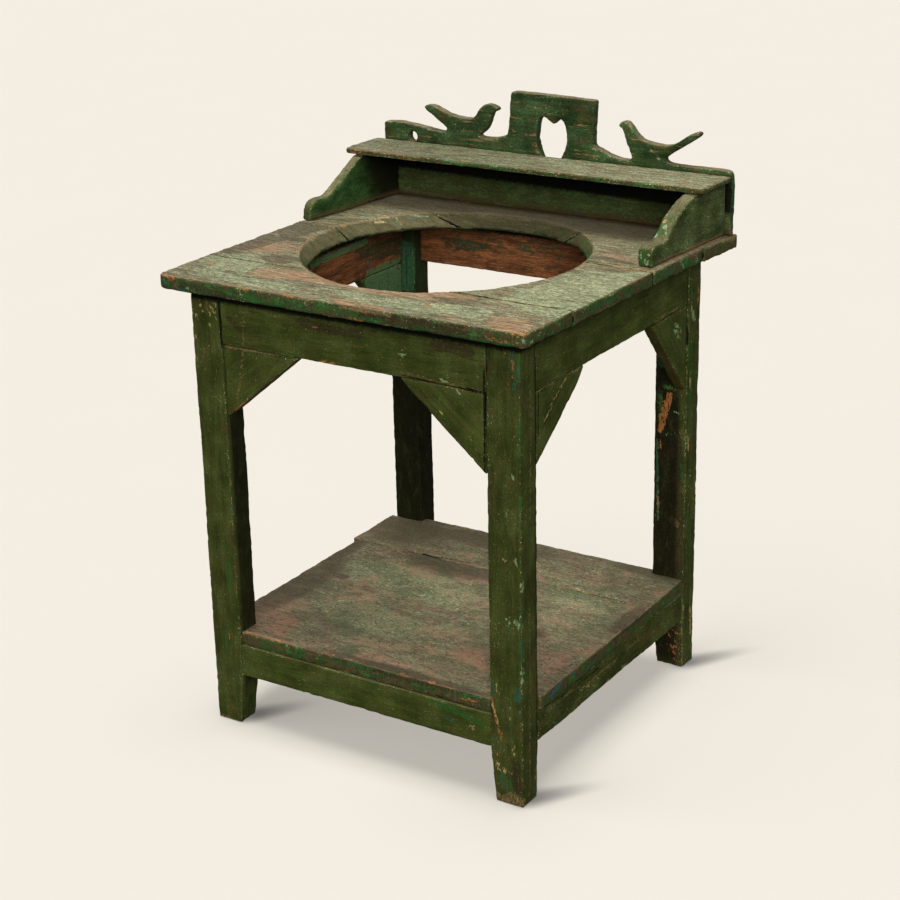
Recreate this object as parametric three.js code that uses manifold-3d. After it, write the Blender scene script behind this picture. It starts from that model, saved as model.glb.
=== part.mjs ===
// A hand-made painted pine washstand: four square legs with corner brackets,
// a lower shelf, a plank top with a round basin hole, and a backboard with
// two cut-out birds, carried with a narrow shelf on two scroll brackets.
// Millimetres. X runs along the front, Y to the back, Z up.

import * as THREE from 'three';
import { mergeVertices } from 'three/addons/utils/BufferGeometryUtils.js';
import Module from 'manifold-3d';

const wasm = await Module();
wasm.setup();

// ---------------------------------------------------------------------------
// Driving dimensions. X and Y are taken from the middle of the four legs;
// the whole stand is then shifted so that the origin is the bottom centre of
// its bounding box.
// ---------------------------------------------------------------------------
const FOOTPRINT_SHIFT = [2.75, -5, 0];

const TOP_Z = 727;            // upper face of the table top
const TOP_T = 22;             // thickness of the top boards
const TOP_UNDER = TOP_Z - TOP_T;

// square legs, drawn as outer box corners; hand-planed, so no two are alike
const LEGS = {
  leg_front_left: { x: [-280, -227], y: [-279, -236] },
  leg_front_right: { x: [226, 280], y: [-279, -234] },
  leg_rear_left: { x: [-280, -227], y: [236, 279] },
  leg_rear_right: { x: [224, 280], y: [236, 278] },
};
const FOOT_TAPER_Z = 87;      // the inner faces draw in below this height
const FOOT_TAPER_X = 8;
const FOOT_TAPER_Y = 4.5;

const FRAME_T = 22;           // thickness of aprons and lower rails
const FRAME_RECESS = 1;       // set back from the legs' outer faces
const LEFT_APRON_RECESS = 8;  // the left apron sits deeper than the others
const REAR_RAIL_RECESS = 19;  // the rear shelf board ends short of the legs' backs and bears on this rail
const APRON_Z = { front: 627, rear: 626, left: 624.5, right: 624 };
const RAIL_Z0 = { front: 86, rear: 86, left: 87, right: 88 };
const RAIL_Z1 = 139;
const TENON_T = 10;
const TENON_INSET = 6;        // from the outer face of the apron or rail
const TENON_LEN_X = 28;       // front and rear pieces, into the legs
const TENON_LEN_Y = 24;       // side pieces, into the legs
const TENON_SHOULDER = 11;    // above and below the tenon
const GAP = 0.3;

const BRACKET_T = 20;
const BRACKET_RECESS = 1.5;
const BRACKET_LEG_GAP = 1.2;

const SHELF_Z0 = RAIL_Z1;
const SHELF_Z1 = 162;
const SHELF_SEAM_Y = 112.5;

const SEAM_GAP = 0.5;
const TOP_SEAMS = [-175, 54, 205];
const TOP_OUTLINES = {
  front: [[-327, -283], [-325.3, -290], [-320.5, -296], [-312, -299], [300.5, -299], [304, -175 - SEAM_GAP / 2], [-328, -175 - SEAM_GAP / 2]],
  second: [[-328, -175 + SEAM_GAP / 2], [306, -175 + SEAM_GAP / 2], [311, 54 - SEAM_GAP / 2], [-328, 54 - SEAM_GAP / 2]],
  third: [[-328, 54 + SEAM_GAP / 2], [311, 54 + SEAM_GAP / 2], [316, 205 - SEAM_GAP / 2], [-327.5, 205 - SEAM_GAP / 2]],
  rear: [[-327.5, 205 + SEAM_GAP / 2], [318.5, 205 + SEAM_GAP / 2], [326.5, 300], [325, 309], [-327, 309]],
};

// basin hole, sawn by hand and bevelled to take the basin's rim
const HOLE = { x: -27, y: 21, lip: 1.5, segments: 64 };
const holeRadius = (a) =>
  228.2 - 2.8 * Math.cos(2 * a) - 4.2 * Math.sin(2 * a) - 1.5 * Math.cos(3 * a) + 1.8 * Math.sin(3 * a);
// how far the bevel runs in from the rim, by the direction in degrees: wide
// at the back and the left, narrow at the front and the right
const BEVEL = [[-180, 26], [-165, 25], [-152, 21.5], [-142, 14.5], [-120, 12], [0, 12], [30, 13], [58, 16.5],
  [75, 20], [90, 27], [105, 29], [145, 29.5], [165, 27.5], [180, 26]];
const holeBevel = (a) => {
  const d = (a * 180) / Math.PI;
  for (let i = 1; i < BEVEL.length; i++) {
    const [d0, b0] = BEVEL[i - 1], [d1, b1] = BEVEL[i];
    if (d <= d1) return b0 + ((b1 - b0) * (d - d0)) / (d1 - d0);
  }
  return BEVEL[0][1];
};

const BACK_Y = 288;           // front face of the backboard
const BACK_T = 17;

const SMALL_SHELF_Z0 = 811;
const SMALL_SHELF_Z1 = 820;

// ---------------------------------------------------------------------------
// Solid helpers
// ---------------------------------------------------------------------------
function weld(geometry) {
  let g = geometry.clone();
  for (const name of Object.keys(g.attributes)) if (name !== 'position') g.deleteAttribute(name);
  g = mergeVertices(g, 1e-4);
  const kept = [];
  const idx = g.index.array;
  for (let i = 0; i < idx.length; i += 3) {
    const [a, b, c] = [idx[i], idx[i + 1], idx[i + 2]];
    if (a !== b && b !== c && c !== a) kept.push(a, b, c);
  }
  const p = g.attributes.position;
  let volume = 0;
  const va = new THREE.Vector3(), vb = new THREE.Vector3(), vc = new THREE.Vector3();
  for (let i = 0; i < kept.length; i += 3) {
    va.fromBufferAttribute(p, kept[i]);
    vb.fromBufferAttribute(p, kept[i + 1]);
    vc.fromBufferAttribute(p, kept[i + 2]);
    volume += va.dot(vb.cross(vc)) / 6;
  }
  if (volume < 0) for (let i = 0; i < kept.length; i += 3) [kept[i + 1], kept[i + 2]] = [kept[i + 2], kept[i + 1]];
  g.setIndex(kept);
  return g;
}

function solid(geometry) {
  const g = weld(geometry);
  return new wasm.Manifold(new wasm.Mesh({
    numProp: 3,
    vertProperties: new Float32Array(g.attributes.position.array),
    triVerts: new Uint32Array(g.index.array),
  }));
}

function toGeometry(manifold) {
  const m = manifold.getMesh();
  const g = new THREE.BufferGeometry();
  const p = new Float32Array(m.numVert * 3);
  for (let i = 0; i < m.numVert; i++) for (let k = 0; k < 3; k++) p[3 * i + k] = m.vertProperties[i * m.numProp + k];
  g.setAttribute('position', new THREE.BufferAttribute(p, 3));
  g.setIndex(new THREE.BufferAttribute(new Uint32Array(m.triVerts), 1));
  g.computeVertexNormals();
  return g;
}

function block(x, y, z) {
  const g = new THREE.BoxGeometry(x[1] - x[0], y[1] - y[0], z[1] - z[0]);
  g.translate((x[0] + x[1]) / 2, (y[0] + y[1]) / 2, (z[0] + z[1]) / 2);
  return solid(g);
}

// A flat outline pushed through a thickness. plane 'xy' rises from z0,
// plane 'xz' runs from y0 to the back, plane 'yz' runs from x0 to the right.
function plate(outline, plane, from, thickness, holes = []) {
  const shape = new THREE.Shape(outline.map(([a, b]) => new THREE.Vector2(a, b)));
  for (const h of holes) shape.holes.push(new THREE.Path(h.map(([a, b]) => new THREE.Vector2(a, b))));
  const g = new THREE.ExtrudeGeometry(shape, { depth: thickness, bevelEnabled: false, steps: 1 });
  const m = new THREE.Matrix4();
  if (plane === 'xz') {
    m.makeBasis(new THREE.Vector3(1, 0, 0), new THREE.Vector3(0, 0, 1), new THREE.Vector3(0, -1, 0));
    g.applyMatrix4(m);
    g.translate(0, from + thickness, 0);
  } else if (plane === 'yz') {
    m.makeBasis(new THREE.Vector3(0, 1, 0), new THREE.Vector3(0, 0, 1), new THREE.Vector3(1, 0, 0));
    g.applyMatrix4(m);
    g.translate(from, 0, 0);
  } else {
    g.translate(0, 0, from);
  }
  return solid(g);
}

// A turned solid along a line: profile is [radius, distance] pairs measured
// from the point `at` in the direction `along`.
function turned(profile, segments, at, along) {
  const pts = profile.map(([r, d]) => new THREE.Vector2(r, d));
  const g = new THREE.LatheGeometry(pts, segments);
  const q = new THREE.Quaternion().setFromUnitVectors(
    new THREE.Vector3(0, 1, 0), new THREE.Vector3(...along).normalize());
  g.applyQuaternion(q);
  g.translate(...at);
  return solid(g);
}

const group = new THREE.Group();
group.position.set(...FOOTPRINT_SHIFT);

const paint = {
  frame: { color: 0x3a4420, roughness: 0.62, metalness: 0 },
  top: { color: 0x96967a, roughness: 0.85, metalness: 0 },
  shelf: { color: 0x6b6350, roughness: 0.85, metalness: 0 },
  back: { color: 0x3c4b2d, roughness: 0.7, metalness: 0 },
  ledge: { color: 0x969173, roughness: 0.8, metalness: 0 },
  iron: { color: 0x4a3426, roughness: 0.7, metalness: 0.6 },
};

const pieces = new Map();
function piece(name, body, finish) {
  pieces.set(name, { body, finish });
}
function cut(name, tool) {
  const p = pieces.get(name);
  p.body = p.body.subtract(tool);
}

// ---------------------------------------------------------------------------
// Legs
// ---------------------------------------------------------------------------
for (const [name, leg] of Object.entries(LEGS)) {
  const w = leg.x[1] - leg.x[0], d = leg.y[1] - leg.y[0];
  const g = new THREE.BoxGeometry(w, d, TOP_UNDER, 1, 1, 8);
  g.translate((leg.x[0] + leg.x[1]) / 2, (leg.y[0] + leg.y[1]) / 2, TOP_UNDER / 2);
  const left = leg.x[0] < 0, front = leg.y[0] < 0;
  const p = g.attributes.position;
  for (let i = 0; i < p.count; i++) {
    const zi = p.getZ(i);
    if (zi > 1 && zi < TOP_UNDER * 0.2) p.setZ(i, FOOT_TAPER_Z);
    if (p.getZ(i) > 1) continue;
    const inX = left ? leg.x[1] : leg.x[0];
    const inY = front ? leg.y[1] : leg.y[0];
    if (Math.abs(p.getX(i) - inX) < 0.01) p.setX(i, inX + (left ? -FOOT_TAPER_X : FOOT_TAPER_X));
    if (Math.abs(p.getY(i) - inY) < 0.01) p.setY(i, inY + (front ? -FOOT_TAPER_Y : FOOT_TAPER_Y));
  }
  piece(name, solid(g), paint.frame);
}

// ---------------------------------------------------------------------------
// Aprons under the top and rails under the lower shelf, each with a tenon at
// both ends; the legs are mortised for them.
// ---------------------------------------------------------------------------
function framePiece(name, side, z0, z1) {
  const f = LEGS.leg_front_left, fr = LEGS.leg_front_right;
  const rl = LEGS.leg_rear_left, rr = LEGS.leg_rear_right;
  const tz = [z0 + TENON_SHOULDER, z1 - TENON_SHOULDER];
  let body, tenons;
  if (side === 'front' || side === 'rear') {
    const a = side === 'front' ? f : rl, b = side === 'front' ? fr : rr;
    const recess = name === 'rail_rear' ? REAR_RAIL_RECESS : FRAME_RECESS;
    const outer = side === 'front' ? a.y[0] + recess : b.y[1] - recess;
    const y = side === 'front' ? [outer, outer + FRAME_T] : [outer - FRAME_T, outer];
    const ty = side === 'front'
      ? [outer + TENON_INSET, outer + TENON_INSET + TENON_T]
      : [outer - TENON_INSET - TENON_T, outer - TENON_INSET];
    body = block([a.x[1] + GAP, b.x[0] - GAP], y, [z0, z1]);
    tenons = [
      ['x', [a.x[1] - TENON_LEN_X, a.x[1] + 2], ty, side === 'front' ? 'leg_front_left' : 'leg_rear_left', -1],
      ['x', [b.x[0] - 2, b.x[0] + TENON_LEN_X], ty, side === 'front' ? 'leg_front_right' : 'leg_rear_right', 1],
    ];
  } else {
    const a = side === 'left' ? f : fr, b = side === 'left' ? rl : rr;
    const deep = name === 'apron_left' ? LEFT_APRON_RECESS : FRAME_RECESS;
    const outer = side === 'left' ? a.x[0] + deep : a.x[1] - deep;
    const x = side === 'left' ? [outer, outer + FRAME_T] : [outer - FRAME_T, outer];
    const tx = side === 'left'
      ? [outer + TENON_INSET, outer + TENON_INSET + TENON_T]
      : [outer - TENON_INSET - TENON_T, outer - TENON_INSET];
    body = block(x, [a.y[1] + GAP, b.y[0] - GAP], [z0, z1]);
    tenons = [
      ['y', tx, [a.y[1] - TENON_LEN_Y, a.y[1] + 2], side === 'left' ? 'leg_front_left' : 'leg_front_right', -1],
      ['y', tx, [b.y[0] - 2, b.y[0] + TENON_LEN_Y], side === 'left' ? 'leg_rear_left' : 'leg_rear_right', 1],
    ];
  }
  for (const [axis, x, y, leg, end] of tenons) {
    body = body.add(block(x, y, tz));
    // the mortise is GAP wider all round and a little deeper than the tenon
    const grow = (r, lo, hi) => [r[0] - lo, r[1] + hi];
    const mx = axis === 'x' ? grow(x, end < 0 ? 1 : 3, end < 0 ? 3 : 1) : grow(x, GAP, GAP);
    const my = axis === 'y' ? grow(y, end < 0 ? 1 : 3, end < 0 ? 3 : 1) : grow(y, GAP, GAP);
    cut(leg, block(mx, my, grow(tz, GAP, GAP)));
  }
  piece(name, body, paint.frame);
}
for (const side of ['front', 'rear', 'left', 'right']) {
  framePiece(`apron_${side}`, side, APRON_Z[side], TOP_UNDER);
  framePiece(`rail_${side}`, side, RAIL_Z0[side], RAIL_Z1);
}

// ---------------------------------------------------------------------------
// Triangular corner brackets under the front and side aprons
// ---------------------------------------------------------------------------
const FL = LEGS.leg_front_left, FR = LEGS.leg_front_right;
const RL = LEGS.leg_rear_left, RR = LEGS.leg_rear_right;
const bz = (side) => APRON_Z[side] - 0.5;
const frontY = FL.y[0] + BRACKET_RECESS;
const rightX = FR.x[1] - BRACKET_RECESS - BRACKET_T;
const leftX = FL.x[0] + LEFT_APRON_RECESS + 1;
const e = BRACKET_LEG_GAP;

piece('bracket_front_left', plate(
  [[FL.x[1] + e, bz('front')], [FL.x[1] + e, 515], [-222, 516.5], [-91, 624], [-88.5, bz('front')]],
  'xz', frontY, BRACKET_T), paint.frame);
piece('bracket_front_right', plate(
  [[FR.x[0] - e, bz('front')], [84.5, bz('front')], [87, 623], [221.5, 510], [FR.x[0] - e, 508]],
  'xz', frontY, BRACKET_T), paint.frame);
piece('bracket_right_front', plate(
  [[FR.y[1] + e, bz('right')], [FR.y[1] + e, 516], [-229, 517.5], [-114, 602], [-96, 621], [-95, bz('right')]],
  'yz', rightX, BRACKET_T), paint.frame);
piece('bracket_right_rear', plate(
  [[RR.y[0] - e, bz('right')], [114, bz('right')], [116, 621], [232, 489], [RR.y[0] - e, 487]],
  'yz', rightX, BRACKET_T), paint.frame);
piece('bracket_left_front', plate(
  [[FL.y[1] + e, bz('left')], [FL.y[1] + e, 513], [-232, 514.5], [-100, 620], [-98, bz('left')]],
  'yz', leftX, BRACKET_T), paint.frame);
piece('bracket_left_rear', plate(
  [[RL.y[0] - e, bz('left')], [116, bz('left')], [118, 620], [231, 492], [RL.y[0] - e, 490]],
  'yz', leftX, BRACKET_T), paint.frame);

// ---------------------------------------------------------------------------
// Lower shelf: a wide and a narrow board, notched round the legs
// ---------------------------------------------------------------------------
const N = 0.8; // play round the legs
piece('shelf_board_front', plate([
  [FL.x[1] + N, -277], [FR.x[0] - N, -275.5], [FR.x[0] - N, FR.y[1] + N], [283.5, FR.y[1] + N],
  [283, SHELF_SEAM_Y - 0.4], [-277, SHELF_SEAM_Y - 0.4], [-277.5, FL.y[1] + N], [FL.x[1] + N, FL.y[1] + N],
], 'xy', SHELF_Z0, SHELF_Z1 - SHELF_Z0), paint.shelf);
piece('shelf_board_rear', plate([
  [-286, SHELF_SEAM_Y + 0.4], [282, SHELF_SEAM_Y + 0.4], [280, RR.y[0] - N], [RR.x[0] - N, RR.y[0] - N],
  [RR.x[0] - N, 249], [RL.x[1] + N, 249.5], [RL.x[1] + N, RL.y[0] - N], [-287, RL.y[0] - N],
], 'xy', SHELF_Z0, SHELF_Z1 - SHELF_Z0), paint.shelf);

// ---------------------------------------------------------------------------
// Table top: four boards side by side, cut by the basin hole, which parts the
// two middle boards into a left and a right piece each
// ---------------------------------------------------------------------------
function holeCutter() {
  const profile = [[0, 0], [1, 0], [1, 1], [1, 2], [1, 3], [0, 3]];
  const g = new THREE.LatheGeometry(profile.map(([r, d]) => new THREE.Vector2(r, d)), HOLE.segments);
  const levels = [
    [TOP_UNDER - 2, -1, 0],
    [TOP_UNDER + HOLE.lip, -1, 0],
    [TOP_Z, 0, 0],
    [TOP_Z + 1.7, 0, 2.2],
  ];
  const p = g.attributes.position;
  for (let i = 0; i < p.count; i++) {
    const [x, y, z] = [p.getX(i), p.getY(i), p.getZ(i)];
    const [height, bevel, extra] = levels[Math.round(y)];
    const r = Math.hypot(x, z);
    const a = Math.atan2(-z, x);
    const R = r > 0.5 ? holeRadius(a) + bevel * holeBevel(a) + extra : 0;
    p.setXYZ(i, HOLE.x + R * Math.cos(a), HOLE.y + R * Math.sin(a), height);
  }
  return solid(g);
}
const basinHole = holeCutter();
const topBoard = (key) => plate(TOP_OUTLINES[key], 'xy', TOP_UNDER, TOP_T).subtract(basinHole);
const leftHalf = block([-400, HOLE.x], [-400, 400], [600, 800]);
const rightHalf = block([HOLE.x, 400], [-400, 400], [600, 800]);
piece('top_board_front', topBoard('front'), paint.top);
piece('top_board_second_left', topBoard('second').intersect(leftHalf), paint.top);
piece('top_board_second_right', topBoard('second').intersect(rightHalf), paint.top);
piece('top_board_third_left', topBoard('third').intersect(leftHalf), paint.top);
piece('top_board_third_right', topBoard('third').intersect(rightHalf), paint.top);
piece('top_board_rear', topBoard('rear'), paint.top);

// ---------------------------------------------------------------------------
// Backboard: the sawn crest has a bird at each side, facing a middle block
// with a tulip-shaped opening; a small round hang-hole is near the left end
// ---------------------------------------------------------------------------
const CREST = [
  [-314.4, 727], [321.7, 727], [321.7, 825.8], [319.7, 828.3], [286.7, 828], [251.6, 827.8], [234.6, 827.8], [217.5, 828.8],
  // right bird, facing left: tail, back, head, beak, breast
  [210.5, 830.8], [207.5, 835.8], [217.1, 843.8], [233.6, 853.8], [250.6, 864.8], [265.1, 874.8], [267.1, 878.9], [263.6, 881.9],
  [250.3, 877.9], [237.6, 869.3], [225.3, 860.8], [215.5, 857.1], [206.5, 855.8], [196.3, 856.5], [185.5, 857.4], [175.5, 859.2],
  [168.4, 860.8], [163.3, 863.8], [157.4, 869.3], [152.8, 875.3], [148.4, 880.9], [144, 885.2], [139.4, 887.9], [134.4, 887.9],
  [130, 885.6], [125.7, 880.9], [129.2, 877.4], [133.4, 875.3], [135.4, 869.5], [139, 860.5], [142.4, 851.4], [146.2, 842.3],
  [150.4, 833.3], [147.4, 828.3], [138.4, 827.3], [130.4, 827.4], [121.8, 828.8], [112.8, 831.2], [104, 834.8], [95, 838.8],
  [86.1, 841.3], [81.7, 845.8], [82.3, 869.4], [85.7, 913.4], [84.3, 915.4], [41.2, 916.4], [5.2, 917.3], [-30.9, 917.9], [-65, 917.9],
  [-67.8, 915.9], [-70.6, 892.9], [-72.8, 871.4], [-74.5, 854.8], [-76, 847.3], [-88, 842], [-102, 839], [-121.1, 838.8],
  // left bird, facing right: breast, beak, head, back, tail
  [-128.6, 840.8], [-118.1, 849.2], [-110.6, 859.8], [-106.9, 870.2], [-102.5, 880.9], [-95.7, 882.9], [-92.8, 886.4],
  [-99.8, 891.9], [-110.1, 893.9], [-118.1, 892.4], [-123.1, 889.4], [-131.1, 880.5], [-136.1, 872.8], [-141.7, 867.2], [-156.1, 867.1],
  [-169.7, 868.1], [-185.2, 870.8], [-202.2, 876.9], [-218.9, 883.7], [-230.7, 882.4], [-235.3, 877.9], [-222.3, 868.1],
  [-206.8, 857.9], [-199.1, 853.7], [-190.7, 847.3], [-194.2, 841.3], [-203.2, 840.3], [-223.3, 843.2], [-242.3, 846.5],
  [-262.3, 848.3], [-282.4, 850.8], [-312.4, 848.3], [-314.4, 846.3],
];
const TULIP = [
  [9.5, 871.2], [2.6, 875.3], [-2.4, 879.4], [-6.9, 881.4], [-11.6, 881.3], [-17.9, 874.8], [-19.9, 860.1], [-21, 847.8],
  [-19.7, 837.8], [-16.9, 828.8], [-12.9, 818.7], [-6.9, 807.7], [1.1, 798.2], [7.2, 793.7], [13.2, 798.2], [19.2, 806.7],
  [23.9, 818.3], [27.7, 826.8], [31.2, 835.8], [34.5, 846.8], [33.6, 859.8], [31.2, 869.5], [26.7, 877.2], [21.7, 880.7], [16.2, 876.9],
];
const HANG_HOLE = [];
for (let i = 0; i < 12; i++) {
  const a = (i / 12) * 2 * Math.PI;
  HANG_HOLE.push([-258.3 + 8.5 * Math.cos(a), 827.8 + 8.5 * Math.sin(a)]);
}
piece('backboard', plate(CREST, 'xz', BACK_Y, BACK_T, [TULIP, HANG_HOLE]), paint.back);

// ---------------------------------------------------------------------------
// Scroll brackets under the small shelf; both stand a little askew.
// The outline is drawn from the front of the bracket to the backboard.
// ---------------------------------------------------------------------------
const SCROLLS = {
  scroll_bracket_left: {
    front: [-327.5, 65], skew: -5.8, thickness: 19,
    outline: [[0, 727], [0.5, 738], [2, 745], [5.5, 752], [13, 758], [24, 760], [40, 758.5], [48, 760],
      [60, 766.5], [81, 779], [103, 793], [121, 804], [133, 811], [228, 811], [228, 727]],
  },
  scroll_bracket_right: {
    front: [275.5, 68.2], skew: -3.6, thickness: 24.5,
    outline: [[0, 727], [0, 748], [2.5, 754.5], [9, 758], [22, 758.5], [37, 757.5], [43, 760], [52, 768],
      [61, 777], [69, 782.5], [82, 790], [95, 798], [106, 804], [118, 807], [128, 808.5], [136, 811], [224, 811], [224, 727]],
  },
};
for (const [name, s] of Object.entries(SCROLLS)) {
  const shape = new THREE.Shape(s.outline.map(([a, b]) => new THREE.Vector2(a, b)));
  const g = new THREE.ExtrudeGeometry(shape, { depth: s.thickness, bevelEnabled: false, steps: 1 });
  g.applyMatrix4(new THREE.Matrix4().makeBasis(
    new THREE.Vector3(0, 1, 0), new THREE.Vector3(0, 0, 1), new THREE.Vector3(1, 0, 0)));
  g.rotateZ((s.skew * Math.PI) / 180);
  g.translate(s.front[0], s.front[1], 0);
  // scribed to the backboard at the rear
  piece(name, solid(g).intersect(block([-400, 400], [-400, BACK_Y - GAP], [600, 900])), paint.back);
}

piece('small_shelf', plate([
  [-327, 193.5], [-322, 192], [-140, 192.5], [40, 193.5], [250, 193], [316, 193.5], [319, 199], [321, 226],
  [322, 258], [321.5, BACK_Y - GAP], [-328.5, BACK_Y - GAP], [-331.5, 250], [-332, 214], [-330, 199],
], 'xy', SMALL_SHELF_Z0, SMALL_SHELF_Z1 - SMALL_SHELF_Z0), paint.ledge);

// ---------------------------------------------------------------------------
// Cut nails. `at` is the centre of the head's face and `into` the driving
// direction; every piece that the nail passes is bored for it.
// ---------------------------------------------------------------------------
const NAIL_SHANK_R = 1.4, NAIL_HEAD_R = 3.4, NAIL_HEAD_T = 1.3, NAIL_SIDES = 8;
function nail(name, at, into, length, through) {
  const tip = 4;
  piece(name, turned(
    [[0, 0], [NAIL_HEAD_R, 0], [NAIL_HEAD_R, NAIL_HEAD_T], [NAIL_SHANK_R, NAIL_HEAD_T],
      [NAIL_SHANK_R, length - tip], [0, length]],
    NAIL_SIDES, at, into), paint.iron);
  const bore = turned(
    [[0, -4], [NAIL_HEAD_R + GAP, -4], [NAIL_HEAD_R + GAP, NAIL_HEAD_T + GAP], [NAIL_SHANK_R + GAP, NAIL_HEAD_T + GAP],
      [NAIL_SHANK_R + GAP, length - tip + 0.6], [0, length + 1]],
    NAIL_SIDES, at, into);
  for (const part of through) cut(part, bore);
}
// top boards, driven down into the aprons
nail('nail_top_front_left', [-150, -267, TOP_Z], [0, 0, -1], 52, ['top_board_front', 'apron_front']);
nail('nail_top_front_right', [150, -267, TOP_Z], [0, 0, -1], 52, ['top_board_front', 'apron_front']);
nail('nail_top_second_left', [-261, -62, TOP_Z], [0, 0, -1], 52, ['top_board_second_left', 'apron_left']);
nail('nail_top_second_right', [268, -58, TOP_Z], [0, 0, -1], 52, ['top_board_second_right', 'apron_right']);
nail('nail_top_third_left', [-261, 128, TOP_Z], [0, 0, -1], 52, ['top_board_third_left', 'apron_left']);
nail('nail_top_third_right', [268, 132, TOP_Z], [0, 0, -1], 52, ['top_board_third_right', 'apron_right']);
nail('nail_top_rear_left', [-150, 266, TOP_Z], [0, 0, -1], 52, ['top_board_rear', 'apron_rear']);
nail('nail_top_rear_right', [150, 266, TOP_Z], [0, 0, -1], 52, ['top_board_rear', 'apron_rear']);
// lower shelf boards, driven down into the side rails
nail('nail_shelf_front_left', [-268, -70, SHELF_Z1], [0, 0, -1], 50, ['shelf_board_front', 'rail_left']);
nail('nail_shelf_front_right', [268, -64, SHELF_Z1], [0, 0, -1], 50, ['shelf_board_front', 'rail_right']);
nail('nail_shelf_rear_left', [-268, 178, SHELF_Z1], [0, 0, -1], 50, ['shelf_board_rear', 'rail_left']);
nail('nail_shelf_rear_right', [268, 174, SHELF_Z1], [0, 0, -1], 50, ['shelf_board_rear', 'rail_right']);
// the rusty nail that pins the front rail's tenon in the front right leg
nail('nail_leg_front_right', [237, FR.y[0], 104], [0, 1, 0], 36, ['leg_front_right', 'rail_front']);
// corner brackets, toe-nailed up into the aprons from inside
nail('nail_bracket_front_left', [-150, frontY + BRACKET_T, 615], [0, -0.26, 0.966], 46, ['bracket_front_left', 'apron_front']);
nail('nail_bracket_front_right', [150, frontY + BRACKET_T, 615], [0, -0.26, 0.966], 46, ['bracket_front_right', 'apron_front']);
nail('nail_bracket_right_front', [rightX, -160, 613], [0.26, 0, 0.966], 46, ['bracket_right_front', 'apron_right']);
nail('nail_bracket_right_rear', [rightX, 180, 613], [0.26, 0, 0.966], 46, ['bracket_right_rear', 'apron_right']);
nail('nail_bracket_left_front', [leftX + BRACKET_T, -160, 614], [-0.26, 0, 0.966], 46, ['bracket_left_front', 'apron_left']);
nail('nail_bracket_left_rear', [leftX + BRACKET_T, 222, 616], [-0.26, 0, 0.966], 46, ['bracket_left_rear', 'apron_left']);
// small shelf, driven down into the scroll brackets
nail('nail_small_shelf_left', [-298, 262, SMALL_SHELF_Z1], [0, 0, -1], 42, ['small_shelf', 'scroll_bracket_left']);
nail('nail_small_shelf_right', [299.6, 258, SMALL_SHELF_Z1], [0, 0, -1], 42, ['small_shelf', 'scroll_bracket_right']);
// scroll brackets and backboard, driven up from under the top
nail('nail_scroll_left', [-309.5, 150, TOP_UNDER], [0, 0, 1], 52, ['top_board_third_left', 'scroll_bracket_left']);
nail('nail_scroll_right', [298, 230, TOP_UNDER], [0, 0, 1], 52, ['top_board_rear', 'scroll_bracket_right']);
nail('nail_backboard_left', [-200, 296.5, TOP_UNDER], [0, 0, 1], 58, ['top_board_rear', 'backboard']);
nail('nail_backboard_right', [200, 296.5, TOP_UNDER], [0, 0, 1], 58, ['top_board_rear', 'backboard']);

// ---------------------------------------------------------------------------
for (const [name, { body, finish }] of pieces) {
  const mesh = new THREE.Mesh(toGeometry(body), new THREE.MeshStandardMaterial(finish));
  mesh.name = name;
  group.add(mesh);
}

export default group;
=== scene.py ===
import math

import bpy
import numpy as np
from mathutils import Matrix, Vector


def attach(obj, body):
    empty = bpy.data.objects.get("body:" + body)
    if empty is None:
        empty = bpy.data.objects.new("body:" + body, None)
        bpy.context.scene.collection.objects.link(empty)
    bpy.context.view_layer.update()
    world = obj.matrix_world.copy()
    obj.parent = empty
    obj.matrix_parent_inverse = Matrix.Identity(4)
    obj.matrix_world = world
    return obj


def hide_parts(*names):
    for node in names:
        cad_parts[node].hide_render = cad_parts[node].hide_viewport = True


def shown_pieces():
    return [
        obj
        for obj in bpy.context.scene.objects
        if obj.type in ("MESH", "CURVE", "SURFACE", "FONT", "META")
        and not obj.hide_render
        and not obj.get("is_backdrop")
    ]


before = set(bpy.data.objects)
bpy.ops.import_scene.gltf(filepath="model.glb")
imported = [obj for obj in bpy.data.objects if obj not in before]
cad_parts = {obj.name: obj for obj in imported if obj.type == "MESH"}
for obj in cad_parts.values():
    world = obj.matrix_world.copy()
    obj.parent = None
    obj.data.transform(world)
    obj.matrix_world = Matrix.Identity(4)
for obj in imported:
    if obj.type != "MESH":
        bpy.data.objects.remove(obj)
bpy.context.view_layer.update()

# A painted pine washstand. The numbers below are millimetres, measured from
# the middle of the four legs; SHIFT takes them to the frame of the model.
SHIFT = np.array([2.75, -5.0, 0.0])
SCENE = bpy.context.scene

# ---------------------------------------------------------------------------
# Lattice noise
# ---------------------------------------------------------------------------
_TAB = np.random.default_rng(20117).random(1 << 16).astype(np.float32)


def _hash(i, j, k, s):
    return _TAB[((i * 73856093) ^ (j * 19349663) ^ (k * 83492791) ^ (s * 2654435761)) & 65535]


def vnoise(x, y, z, s):
    x, y, z = np.broadcast_arrays(x, y, z)
    xf, yf, zf = np.floor(x), np.floor(y), np.floor(z)
    i, j, k = xf.astype(np.int64), yf.astype(np.int64), zf.astype(np.int64)
    fx, fy, fz = (x - xf), (y - yf), (z - zf)
    fx, fy, fz = fx * fx * (3 - 2 * fx), fy * fy * (3 - 2 * fy), fz * fz * (3 - 2 * fz)
    out = 0.0
    for a in (0, 1):
        wx = fx if a else 1 - fx
        for b in (0, 1):
            wy = fy if b else 1 - fy
            for c in (0, 1):
                wz = fz if c else 1 - fz
                out = out + wx * wy * wz * _hash(i + a, j + b, k + c, s)
    return out


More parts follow.
